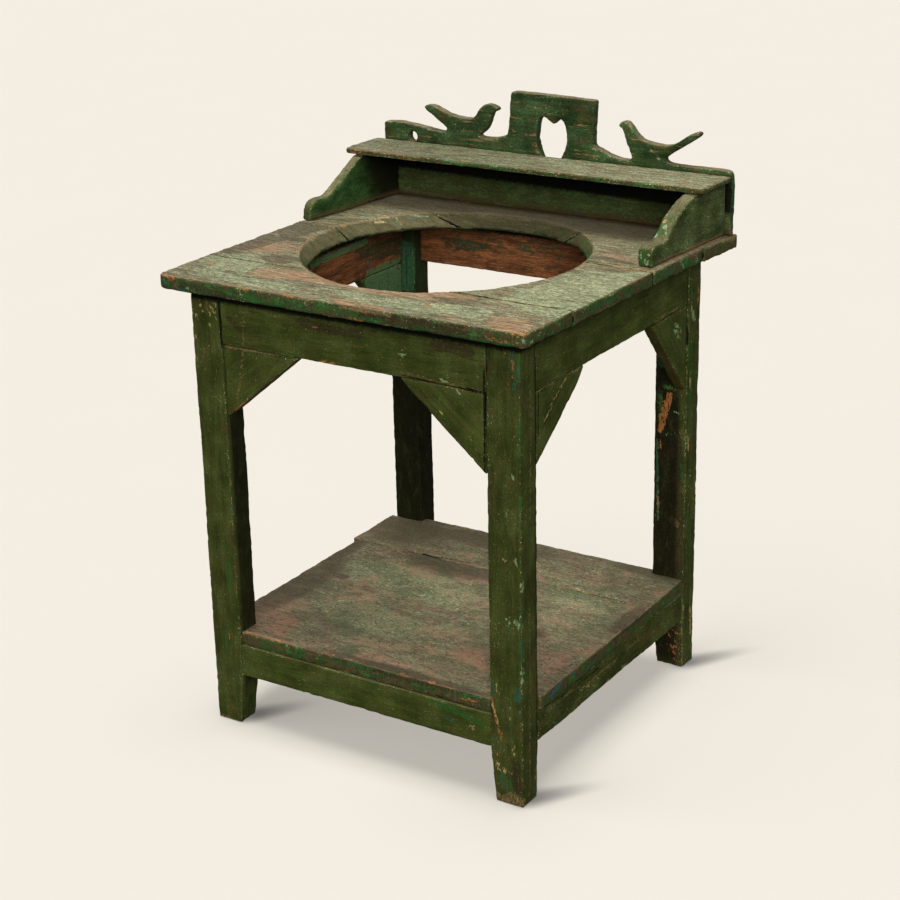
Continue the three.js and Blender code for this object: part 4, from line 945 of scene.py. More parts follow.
def worn_paint(name, coat, coat_dark, coat_light, chips=0.0, edge=0.30, streak=1.0, flecks=0.5, dust=0.6, dust_colour=None,
               dusty_top=None, upright=None, under_bare=True, specular=0.12, long_chips=0.0, brown=0.5, speck_k=1.6,
               painted_overhang_shade=False, niche=False, grime=None, arris=None, cheek=False):
    """Old olive paint over emerald and blue coats on pine, worn through at the arrises and dusty on top."""
    m = Nodes(name)
    wc = m.attribute("wc", "Vector")
    at = m.scaled(m.add("ShaderNodeTexCoord").outputs["Object"], (100.0, 100.0, 100.0))
    wear, ed = m.attribute("wear"), m.attribute("ed")
    orange_s, cream_s, teal_s = m.split(m.attribute("ma", "Color"))
    blue_s, dark_s, pale_s = m.split(m.attribute("mb", "Color"))
    sage_s, tan_s, stain_s = m.split(m.attribute("mc", "Color"))
    emerald_s = m.attribute("em")
    inn = m.attribute("inn")
    nz = m.up()
    g = m.scaled(wc, (0.13, 1.0, 1.0))
    g2 = m.scaled(wc, (0.045, 1.0, 1.0), (3.1, 7.7, 1.3))

    sep = m.add("ShaderNodeSeparateXYZ")
    m.put(at, sep.inputs[0])
    az0 = sep.outputs[2]
    # noises; wc and at are in centimetres
    big = m.noise(wc, 0.22, 2.0, 0.5)
    patch = m.noise(g, 0.95, 5.0, 0.62, 0.3)
    small = m.noise(g, 3.2, 4.0, 0.65)
    fine = m.noise(m.scaled(wc, (0.35, 1.0, 1.0), (9, 2, 5)), 9.0, 3.0, 0.7)
    speck = m.noise(m.scaled(wc, (0.55, 1.0, 1.0), (5, 3, 8)), 4.2, 4.0, 0.8)
    fibre = m.noise(g2, 7.0, 5.0, 0.72)
    grit = m.noise(wc, 22.0, 2.0, 0.7)
    brk = m.noise(m.scaled(wc, (0.45, 1, 1), (7, 3, 6)), 3.4, 4.0, 0.7)
    runs = m.noise(m.scaled(at, (1.0, 1.0, 0.05), (2, 5, 1)), 2.4, 3.0, 0.7)

    # bare pine: orange-brown, greyer where it has lain open
    wood = m.ramp(fibre, (0.25, srgb(50, 30, 15, KF)), (0.48, srgb(104, 66, 34, KF)),
                  (0.66, srgb(150, 98, 54, KF)), (0.85, srgb(178, 132, 84, KF)))
    fresh = m.ramp(fibre, (0.30, srgb(128, 70, 30, KF)), (0.5, srgb(176, 102, 46, KF)), (0.7, srgb(206, 136, 66, KF)))
    wood = m.mix(m.step(m.noise(wc, 0.6, 2.0, 0.5), 0.52, 0.62, 0.0, 0.7), wood, fresh)
    if arris is not None:
        wood = m.mix(m.step(m.noise(wc, 0.9, 3.0, 0.6), 0.40, 0.56, 0.9, 0.35), wood, m.mix(m.step(speck, 0.4, 0.6), m.mix(1.0, arris, (0.6, 0.58, 0.5, 1), "MULTIPLY"), arris))
    rust = m.ramp(m.math("ADD", m.math("MULTIPLY", fibre, 0.5), m.math("MULTIPLY", speck, 0.5)), (0.36, srgb(70, 44, 24, KF)), (0.46, srgb(138, 84, 42, KF)),
                  (0.54, srgb(166, 102, 54, KF)), (0.66, srgb(192, 132, 78, KF)))
    # old coats
    hue = m.noise(m.scaled(wc, (0.4, 1, 1), (21, 4, 8)), 0.8, 2.0, 0.5)
    old = m.ramp(hue, (0.30, srgb(20, 58, 76, KF)), (0.40, srgb(22, 74, 46, KF)), (0.52, srgb(30, 90, 40, KF)),
                 (0.64, srgb(60, 114, 76, KF)), (0.74, srgb(112, 146, 102, KF)))

    # the top coat: blotches, brown smears, runs, pits and pale specks
    if upright is not None:
        coat_c = upright(m, dict(wc=wc, at=at, big=big, patch=patch, small=small, fine=fine, speck=speck, brk=brk, stain_s=stain_s))
    else:
        coat_c = m.ramp(m.math("ADD", m.math("MULTIPLY", big, 0.55), m.math("MULTIPLY", patch, 0.45)),
                        (0.38, coat_dark), (0.5, coat), (0.62, coat_light))
    smear = m.noise(m.scaled(wc, (0.5, 1, 1), (13, 6, 2)), 0.62, 5.0, 0.68, 0.5)
    coat_c = m.mix(m.step(smear, 0.50, 0.66, 0.0, brown), coat_c, srgb(76, 62, 34, KF))
    level = m.math("ADD", 1.0, m.math("MULTIPLY", m.math("SUBTRACT", speck, 0.5), speck_k))
    level = m.math("ADD", level, m.math("MULTIPLY", m.math("SUBTRACT", fibre, 0.5), 0.9 * streak))
    level = m.math("ADD", level, m.math("MULTIPLY", m.math("SUBTRACT", fine, 0.5), 0.8))
    level = m.math("ADD", level, m.math("MULTIPLY", m.math("SUBTRACT", runs, 0.5), 0.55))
    coat_c = m.mix(1.0, coat_c, m.math("MAXIMUM", level, 0.25), "MULTIPLY")
    coat_c = m.mix(m.step(speck, 0.345, 0.295, 0.0, 0.75), coat_c, srgb(20, 19, 8, KF))
    coat_c = m.mix(m.step(speck, 0.67, 0.73, 0.0, 0.32), coat_c, srgb(102, 106, 66, KF))

    split = m.noise(m.scaled(wc, (0.035, 1.0, 1.0), (3, 7, 1)), 3.4, 6.0, 0.78, 0.2)
    coat_c = m.mix(m.step(split, 0.41, 0.35, 0.0, 0.60 * streak), coat_c, srgb(18, 18, 8, KF))
    coat_c = m.mix(m.step(split, 0.62, 0.69, 0.0, 0.40 * streak), coat_c, srgb(96, 92, 54, KF))

    # damage: how far the coats are worn through
    near = m.step(ed, 5.5, 0.0)
    dmg = m.math("ADD", m.math("MULTIPLY", patch, 0.55), m.math("MULTIPLY", small, 0.45))
    dmg = m.math("ADD", dmg, m.math("MULTIPLY", m.math("SUBTRACT", big, 0.5), 0.35))
    dmg = m.math("ADD", dmg, m.math("MULTIPLY", near, edge * 0.5))
    dmg = m.math("ADD", dmg, m.step(wear, 0.25, 1.9, 0.0, edge * 1.2))
    dmg = m.math("ADD", dmg, chips)
    if long_chips:
        lc = m.noise(m.scaled(wc, (0.13, 1.0, 1.0), (5, 1, 2)), 1.9, 4.0, 0.66)
        dmg = m.math("ADD", dmg, m.step(lc, 0.56, 0.65, 0.0, long_chips))
        dmg = m.math("SUBTRACT", dmg, m.step(az0, 82.2, 81.0, 0.0, 0.12))
    bare = m.step(dmg, 0.80, 0.825)
    under = m.step(dmg, 0.755, 0.785)
    colour = m.mix(under, coat_c, m.mix(1.0, old, m.math("MAXIMUM", level, 0.4), "MULTIPLY"))
    colour = m.mix(bare, colour, wood)

    # specks of older colours
    sp = m.noise(m.scaled(wc, (0.6, 1, 1), (2, 9, 4)), 5.6, 2.0, 0.55)
    sp_mask = m.step(m.math("ADD", sp, m.math("ADD", m.math("MULTIPLY", m.math("SUBTRACT", big, 0.5), 0.30),
                                              m.math("MULTIPLY", near, 0.10))), 0.725 - 0.03 * flecks, 0.75 - 0.03 * flecks)
    sp_col = m.ramp(m.noise(wc, 1.7, 1.0, 0.5), (0.35, srgb(50, 100, 112, KF)), (0.44, srgb(62, 132, 80, KF)),
                    (0.51, srgb(140, 152, 108, KF)), (0.60, srgb(184, 170, 104, KF)), (0.70, srgb(168, 100, 44, KF)))
    colour = m.mix(m.math("MULTIPLY", sp_mask, 0.85), colour, sp_col)
    # placed marks
    colour = m.mix(m.math("MULTIPLY", placed(m, stain_s, brk), 0.72), colour, m.mix(1.0, srgb(50, 40, 26, KF), level, "MULTIPLY"))
    colour = m.mix(m.math("MULTIPLY", placed(m, emerald_s, brk, 4.2), 0.75), colour, m.mix(1.0, srgb(36, 80, 34, KF), level, "MULTIPLY"))
    colour = m.mix(m.math("MULTIPLY", placed(m, teal_s, brk), 0.72), colour, m.mix(1.0, srgb(38, 78, 54, KF), level, "MULTIPLY"))
    colour = m.mix(m.math("MULTIPLY", placed(m, orange_s, brk, 3.6), 0.85), colour, rust)
    colour = m.mix(m.math("MULTIPLY", placed(m, blue_s, brk), 0.70), colour, srgb(48, 86, 100, KF))
    colour = m.mix(m.math("MULTIPLY", placed(m, pale_s, brk, 3.6), 0.80), colour, srgb(124, 150, 108, KF))
    colour = m.mix(m.math("MULTIPLY", placed(m, cream_s, brk, 3.6), 0.80), colour, srgb(160, 142, 88, KF))
    colour = m.mix(m.math("MULTIPLY", placed(m, tan_s, brk, 3.4, 0.54, 0.62), 0.62), colour, m.mix(m.step(speck, 0.4, 0.6), srgb(84, 70, 46, KF), srgb(138, 112, 74, KF)))

    ax, ay, az = sep.outputs
    sooty = m.math("MULTIPLY", az, m.step(ay, 20.0, 22.0))

    # inside faces
    if grime is not None:
        soot = m.ramp(smear, (0.45, grime), (0.56, srgb(28, 27, 11, KF)), (0.63, srgb(32, 42, 18, KF)), (0.72, srgb(60, 47, 25, KF)))
        soot = m.mix(1.0, soot, m.math("ADD", m.math("MULTIPLY", level, 1.3), -0.48), "MULTIPLY")
        soot = m.mix(m.step(m.math("ADD", sooty, m.math("MULTIPLY", m.math("SUBTRACT", brk, 0.5), 9.0)), 54.0, 60.0, 0.0, 0.8), soot,
                     m.mix(1.0, srgb(36, 46, 22, KF), level, "MULTIPLY"))
        shut = m.math("MULTIPLY", inn, 0.92)
        covered = m.math("MAXIMUM", m.math("MAXIMUM", placed(m, teal_s, brk), placed(m, emerald_s, brk)),
                         m.math("MAXIMUM", placed(m, orange_s, brk), m.math("MAXIMUM", placed(m, cream_s, brk), placed(m, pale_s, brk))))
        colour = m.mix(m.math("MULTIPLY", shut, m.math("SUBTRACT", 1.0, covered)), colour, soot)
        raw = grime
    else:
        # never painted: smoky red-brown, with some green run over
        raw = m.ramp(m.math("ADD", m.math("MULTIPLY", fibre, 0.6), m.math("MULTIPLY", patch, 0.4)),
                     (0.36, srgb(34, 24, 14, 2.3)), (0.5, srgb(84, 51, 29, 2.3)), (0.64, srgb(124, 78, 46, 2.3)))
        raw = m.mix(m.step(m.noise(m.scaled(wc, (0.5, 1, 1), (3, 1, 1)), 0.42, 5.0, 0.7, 0.6), 0.55, 0.62, 0.0, 0.7), raw, srgb(36, 44, 26, 2.4))
        raw = m.mix(m.step(smear, 0.52, 0.62, 0.0, 0.7), raw, srgb(52, 30, 17, 2.4))
        raw = m.mix(1.0, raw, m.math("MAXIMUM", m.math("ADD", 1.0, m.math("MULTIPLY", m.math("SUBTRACT", speck, 0.5), 2.0)), 0.35), "MULTIPLY")
        raw = m.mix(1.0, raw, m.math("MULTIPLY", m.step(ax, -27.0, -21.0, 0.84, 1.0), m.step(ax, 2.0, 16.0, 1.0, 1.22)), "MULTIPLY")
        marked = m.math("MAXIMUM", placed(m, sage_s, brk), placed(m, blue_s, brk))
        colour = m.mix(m.math("MULTIPLY", placed(m, sage_s, brk), 0.9), colour, m.mix(1.0, srgb(74, 104, 66, KF), level, "MULTIPLY"))
        raw = m.mix(m.math("MULTIPLY", placed(m, stain_s, brk, 3.0, 0.50, 0.66), 0.8), raw, m.mix(1.0, srgb(36, 44, 26, 1.8), level, "MULTIPLY"))
        raw = m.mix(m.math("MULTIPLY", m.math("MAXIMUM", placed(m, emerald_s, brk, 4.2), placed(m, teal_s, brk, 3.6)), 0.8), raw,
                    m.mix(1.0, srgb(40, 66, 38, KF), level, "MULTIPLY"))
        colour = m.mix(m.math("MULTIPLY", inn, m.math("SUBTRACT", 1.0, marked)), colour, raw)
    if under_bare:
        colour = m.mix(m.step(nz, -0.55, -0.85), colour, m.mix(0.5, raw, srgb(40, 34, 22, 1.4)))

    # painted shade in a dark band under the overhang of the top; in the niche below the small shelf, its patchy paint,
    # dirt at its foot and a painted shadow band under the shelf
    ragged = m.math("ADD", az, m.math("MULTIPLY", m.math("SUBTRACT", brk, 0.5), 1.2))
    if painted_overhang_shade:
        # painted shade: a near-black band on the frame just under the top's overhang
        colour = m.mix(m.step(ragged, 68.9, 69.5, 0.0, 0.94), colour, srgb(11, 9, 5))
    if niche:
        ny = m.add("ShaderNodeSeparateXYZ")
        m.put(m.add("ShaderNodeNewGeometry").outputs["Normal"], ny.inputs[0])
        plain = colour
        colour = m.mix(1.0, colour, m.step(ax, -26.0, 2.0, 0.82, 1.0), "MULTIPLY")
        patchy = m.ramp(smear, (0.40, srgb(67, 67, 33, KF)), (0.49, srgb(54, 68, 33, KF)), (0.56, srgb(77, 84, 44, KF)), (0.66, srgb(44, 86, 43, KF)))
        colour = m.mix(m.step(az, 81.8, 81.0, 0.0, 0.70), colour, m.mix(1.0, patchy, level, "MULTIPLY"))
        # painted shadow of the small shelf: a near-black band across the backboard just below it
        ledge_shadow = m.math("MULTIPLY", m.step(m.math("ADD", ragged, m.math("MULTIPLY", ax, 0.018)), 76.5, 77.2), m.step(az, 82.3, 81.5))
        colour = m.mix(m.math("MULTIPLY", ledge_shadow, 0.965), colour, srgb(9, 7, 4))
        foot = m.step(ragged, 74.6, 73.2, 0.0, 0.7)
        colour = m.mix(foot, colour, srgb(58, 46, 28, KF))
        colour = m.mix(m.step(ny.outputs[1], -0.35, -0.75), plain, colour)

    if cheek:
        nx = m.add("ShaderNodeSeparateXYZ")
        m.put(m.add("ShaderNodeNewGeometry").outputs["Normal"], nx.inputs[0])
        inside = m.step(m.math("MULTIPLY", nx.outputs[0], m.math("SIGN", ax)), -0.35, -0.75)
        fresh_c = m.ramp(smear, (0.40, srgb(20, 44, 18, KF)), (0.50, srgb(38, 66, 28, KF)), (0.60, srgb(48, 78, 40, KF)), (0.70, srgb(70, 72, 44, KF)))
        colour = m.mix(m.math("MULTIPLY", inside, 0.85), colour, m.mix(1.0, fresh_c, level, "MULTIPLY"))
        # painted shade on the scrolls' inner faces, growing darker towards the back of the niche
        shade = m.math("ADD", m.math("ADD", ay, m.math("MULTIPLY", m.math("SUBTRACT", brk, 0.5), 3.0)), m.math("MULTIPLY", m.math("SUBTRACT", az, 77.0), 0.55))
        colour = m.mix(m.math("MULTIPLY", inside, m.step(shade, 17.5, 22.5, 0.0, 0.93)), colour, srgb(22, 18, 9))
        colour = m.mix(m.math("MULTIPLY", inside, m.step(ragged, 74.1, 73.0, 0.0, 0.6)), colour, srgb(84, 64, 40, KF))
    # dust on what looks up
    up = m.step(nz, 0.45, 0.95)
    height = None
    if dusty_top is not None:
        c, height = dusty_top(m, dict(wc=wc, at=at, ax=ax, ay=ay, az=az, g=g, g2=g2, big=big, patch=patch, small=small, fine=fine,
                                      fibre=fibre, speck=speck, grit=grit, brk=brk, orange_s=orange_s, cream_s=cream_s, teal_s=teal_s,
                                      pale_s=pale_s, blue_s=blue_s, sage_s=sage_s, tan_s=tan_s, stain_s=stain_s, dark_s=dark_s,
                                      wear=wear, ed=ed, near=near, nz=nz))
        colour = m.mix(up, colour, c)
    else:
        lay = m.math("MULTIPLY", up, m.step(m.math("ADD", m.math("MULTIPLY", speck, 0.6), m.math("MULTIPLY", big, 0.4)), 0.34, 0.60, dust * 0.45, dust))
        chipped = m.math("MAXIMUM", placed(m, pale_s, brk, 3.6), m.math("MAXIMUM", placed(m, emerald_s, brk, 4.2), placed(m, cream_s, brk, 3.6)))
        lay = m.math("MULTIPLY", lay, m.math("SUBTRACT", 1.0, m.math("MULTIPLY", chipped, 0.8)))
        settled = m.mix(m.step(small, 0.42, 0.58), srgb(118, 102, 76, KT), dust_colour or srgb(150, 132, 102, KT))
        colour = m.mix(lay, colour, settled)
    colour = m.mix(m.math("MULTIPLY", placed(m, dark_s, brk, 0.5, 0.50, 0.70), 0.94), colour, srgb(13, 10, 6))

    # roughness and relief, in millimetres
    rough = m.mixf(bare, 0.55, 0.85)
    rough = m.mixf(up, rough, 0.92)
    rough = m.math("ADD", rough, m.math("MULTIPLY", m.math("SUBTRACT", fine, 0.5), 0.25))
    h = m.math("MULTIPLY", under, -0.12)
    h = m.math("ADD", h, m.math("MULTIPLY", bare, -0.14))
    h = m.math("ADD", h, m.math("MULTIPLY", fibre, m.mixf(bare, 0.20 * streak, 0.6)))
    h = m.math("ADD", h, m.math("MULTIPLY", fine, 0.14))
    h = m.math("ADD", h, m.math("MULTIPLY", speck, 0.35))
    h = m.math("ADD", h, m.math("MULTIPLY", small, 0.12))
    h = m.math("ADD", h, m.math("MULTIPLY", grit, m.mixf(up, 0.012, 0.05)))
    if height is not None:
        h = m.math("ADD", h, m.math("MULTIPLY", up, height))
    h = m.math("ADD", h, m.math("MULTIPLY", dark_s, -0.6))
    return m.finish(colour, rough, h, specular)


def board_edge(m, s):
    """The side faces of the boards: dark olive, brown end dirt and bright emerald in blotches."""
    blot = m.noise(m.scaled(s["wc"], (0.42, 0.8, 1.0), (3, 8, 2)), 0.62, 5.0, 0.68, 0.5)
    c = m.ramp(blot, (0.36, srgb(46, 52, 25, KF)), (0.44, srgb(76, 64, 42, KF)), (0.50, srgb(58, 63, 34, KF)),
               (0.55, srgb(40, 68, 31, KF)), (0.64, srgb(56, 94, 46, KF)))
    upr = m.noise(m.scaled(s["wc"], (1.0, 1.0, 0.25), (6, 1, 9)), 4.2, 4.0, 0.75)
    return m.mix(1.0, c, m.math("MAXIMUM", m.math("ADD", 1.0, m.math("MULTIPLY", m.math("SUBTRACT", upr, 0.5), 2.3)), 0.35), "MULTIPLY")


def weathered_top(m, s, k=KT, bevel_k=0.80, back=True, more_sage=0.0):
    """Table boards: scrubbed grain, thin pale sage paint, pinkish bare stripes, dark dirt in the grain."""
    wc = s["wc"]
    grain = m.noise(m.scaled(wc, (0.085, 1.0, 1.0), (4, 4, 4)), 4.6, 6.0, 0.78, 0.2)
    grey = m.ramp(grain, (0.34, srgb(44, 38, 25, k)), (0.42, srgb(88, 80, 57, k)), (0.50, srgb(124, 114, 84, k)),
                  (0.58, srgb(154, 140, 110, k)), (0.68, srgb(186, 172, 140, k)))
    tan = m.ramp(grain, (0.30, srgb(48, 38, 28, k)), (0.40, srgb(96, 78, 58, k)), (0.50, srgb(144, 120, 92, k)),
                 (0.62, srgb(190, 160, 126, k)))
    sage = m.ramp(m.noise(m.scaled(wc, (0.45, 1, 1), (2, 2, 2)), 3.4, 5.0, 0.78, 0.3), (0.34, srgb(70, 76, 50, k)),
                  (0.43, srgb(114, 120, 88, k)), (0.53, srgb(146, 152, 116, k)), (0.66, srgb(190, 192, 152, k)))
    sg = m.noise(m.scaled(wc, (0.24, 1, 1), (1, 2, 7)), 1.25, 6.0, 0.74, 0.35)
    sg = m.math("ADD", sg, m.math("MULTIPLY", s["sage_s"], 0.22))
    sg = m.math("ADD", sg, more_sage)
    sg = m.math("SUBTRACT", sg, m.math("MULTIPLY", s["tan_s"], 0.20))
    sg = m.math("SUBTRACT", sg, m.math("MULTIPLY", s["stain_s"], 0.10))
    both = m.math("MULTIPLY", s["tan_s"], s["sage_s"])
    sg = m.math("SUBTRACT", sg, m.math("MULTIPLY", both, 0.30))
    tn = m.noise(m.scaled(wc, (0.13, 1, 1), (9, 5, 1)), 1.15, 6.0, 0.72, 0.3)
    tn = m.math("ADD", tn, m.math("MULTIPLY", both, 0.16))
    tn = m.math("ADD", tn, m.math("MULTIPLY", s["tan_s"], 0.22))
    tn = m.math("SUBTRACT", tn, m.math("MULTIPLY", s["sage_s"], 0.10))
    tn = m.math("SUBTRACT", tn, m.math("MULTIPLY", s["stain_s"], 0.14))
    tan_m = m.step(tn, 0.562, 0.584, 0.0, 0.9)
    c = m.mix(tan_m, grey, tan)
    sage_m = m.step(sg, 0.516, 0.524)
    lip = m.math("MULTIPLY", m.step(sg, 0.498, 0.511), m.math("SUBTRACT", 1.0, sage_m))
    c = m.mix(m.math("MULTIPLY", lip, 0.80), c, srgb(56, 50, 32, k))
    c = m.mix(m.math("MULTIPLY", sage_m, 0.90), c, sage)
    # dark green-grey weathering in streaks
    wx = m.noise(m.scaled(wc, (0.12, 1, 1), (14, 2, 11)), 1.0, 6.0, 0.72, 0.4)
    c = m.mix(m.step(wx, 0.54, 0.60, 0.0, 0.62), c, m.mix(1.0, srgb(88, 92, 66, k), m.math("ADD", m.math("MULTIPLY", grain, 1.6), 0.2), "MULTIPLY"))
    c = m.mix(m.math("MULTIPLY", placed(m, s["stain_s"], grain, 2.2, 0.40, 0.64), 0.62), c, m.mix(1.0, srgb(84, 80, 60, k), m.math("ADD", m.math("MULTIPLY", grain, 1.6), 0.2), "MULTIPLY"))
    cloud = m.noise(m.scaled(wc, (0.5, 1, 1), (8, 8, 3)), 0.34, 5.0, 0.62, 0.4)
    c = m.mix(m.step(cloud, 0.44, 0.30, 0.0, 0.45), c, srgb(92, 84, 60, k))
    c = m.mix(m.step(cloud, 0.56, 0.70, 0.0, 0.35), c, srgb(176, 168, 136, k))
    # open grain and cracks filled with dirt, pale worn specks
    line = m.noise(m.scaled(wc, (0.05, 1.0, 1.0), (3, 7, 1)), 3.6, 7.0, 0.82, 0.25)
    c = m.mix(m.step(line, 0.425, 0.375, 0.0, 0.90), c, srgb(44, 38, 25, k))
    cr = m.noise(m.scaled(wc, (0.45, 1, 1), (1, 6, 2)), 0.9, 3.0, 0.6, 0.9)
    c = m.mix(m.math("MULTIPLY", m.step(m.math("ABSOLUTE", m.math("SUBTRACT", cr, 0.5)), 0.008, 0.0, 0.0, 0.65), m.step(s["patch"], 0.42, 0.52)), c, srgb(60, 50, 36, k))
    c = m.mix(1.0, c, m.math("MAXIMUM", m.math("ADD", 1.0, m.math("MULTIPLY", m.math("SUBTRACT", s["speck"], 0.5), 3.1)), 0.30), "MULTIPLY")
    c = m.mix(m.step(s["speck"], 0.375, 0.325, 0.0, 0.7), c, srgb(52, 46, 32, k))
    c = m.mix(m.step(s["speck"], 0.66, 0.71, 0.0, 0.55), c, srgb(188, 188, 148, k))
    if back:
        # darker on the left, bleached at the right front
        tone = m.math("ADD", m.step(s["ax"], -34.0, -12.0, 0.85, 1.0), m.step(s["ax"], 0.0, 24.0, 0.0, 0.07))
    else:
        tone = m.step(s["ax"], -16.0, 26.0, 0.82, 1.15)
    c = m.mix(1.0, c, tone, "MULTIPLY")
    # the rim of the boards is rubbed to the wood
    worn = m.math("ADD", m.math("MULTIPLY", s["near"], 0.34), m.math("MULTIPLY", tn, 0.9))
    c = m.mix(m.step(worn, 0.62, 0.72, 0.0, 0.75), c, m.mix(m.step(s["small"], 0.45, 0.6), srgb(142, 116, 84, k), srgb(168, 128, 88, k)))
    # dusty and browner towards the back, with painted shade along the backboard
    if back:
        c = m.mix(m.step(s["ay"], 12.0, 22.0, 0.0, 0.55), c, m.mix(m.step(s["speck"], 0.35, 0.65), srgb(119, 109, 83, k), srgb(150, 140, 110, k)))
        # painted shade: a dark brown strip along the backboard, deep under the small shelf
        c = m.mix(m.step(s["ay"], 26.3, 28.2, 0.0, 0.8), c, srgb(76, 64, 42, k))
    # the bevel round the hole
    bev = m.mix(1.0, m.ramp(m.math("ADD", m.math("MULTIPLY", s["fine"], 0.35), m.math("MULTIPLY", s["patch"], 0.65)),
                            (0.36, srgb(85, 79, 52, bevel_k)), (0.5, srgb(108, 101, 70, bevel_k)), (0.64, srgb(131, 122, 88, bevel_k))),
                m.math("ADD", 1.0, m.math("MULTIPLY", m.math("SUBTRACT", s["speck"], 0.5), 1.6)), "MULTIPLY")
    bev = m.mix(m.step(s["speck"], 0.36, 0.30, 0.0, 0.6), bev, srgb(52, 48, 30, bevel_k))
    bev = m.mix(1.0, bev, m.step(s["ax"], 6.0, 20.0, 1.0, 1.28), "MULTIPLY")
    c = m.mix(m.step(s["nz"], 0.93, 0.80), c, bev)
    # placed marks
    c = m.mix(m.math("MULTIPLY", placed(m, s["orange_s"], s["brk"], 3.6), 0.85), c, m.ramp(s["fibre"], (0.3, srgb(142, 92, 54, k)), (0.7, srgb(200, 146, 92, k))))
    c = m.mix(m.math("MULTIPLY", placed(m, s["blue_s"], s["brk"]), 0.8), c, srgb(84, 116, 140, k))
    c = m.mix(m.math("MULTIPLY", placed(m, s["cream_s"], s["brk"]), 0.8), c, srgb(190, 184, 130, k))
    c = m.mix(m.math("MULTIPLY", placed(m, s["pale_s"], s["brk"]), 0.8), c, srgb(150, 172, 132, k))
    h = m.math("ADD", m.math("MULTIPLY", sage_m, 0.30), m.math("MULTIPLY", m.step(line, 0.42, 0.34), -0.55))
    h = m.math("ADD", h, m.math("MULTIPLY", grain, 0.60))
    return c, h


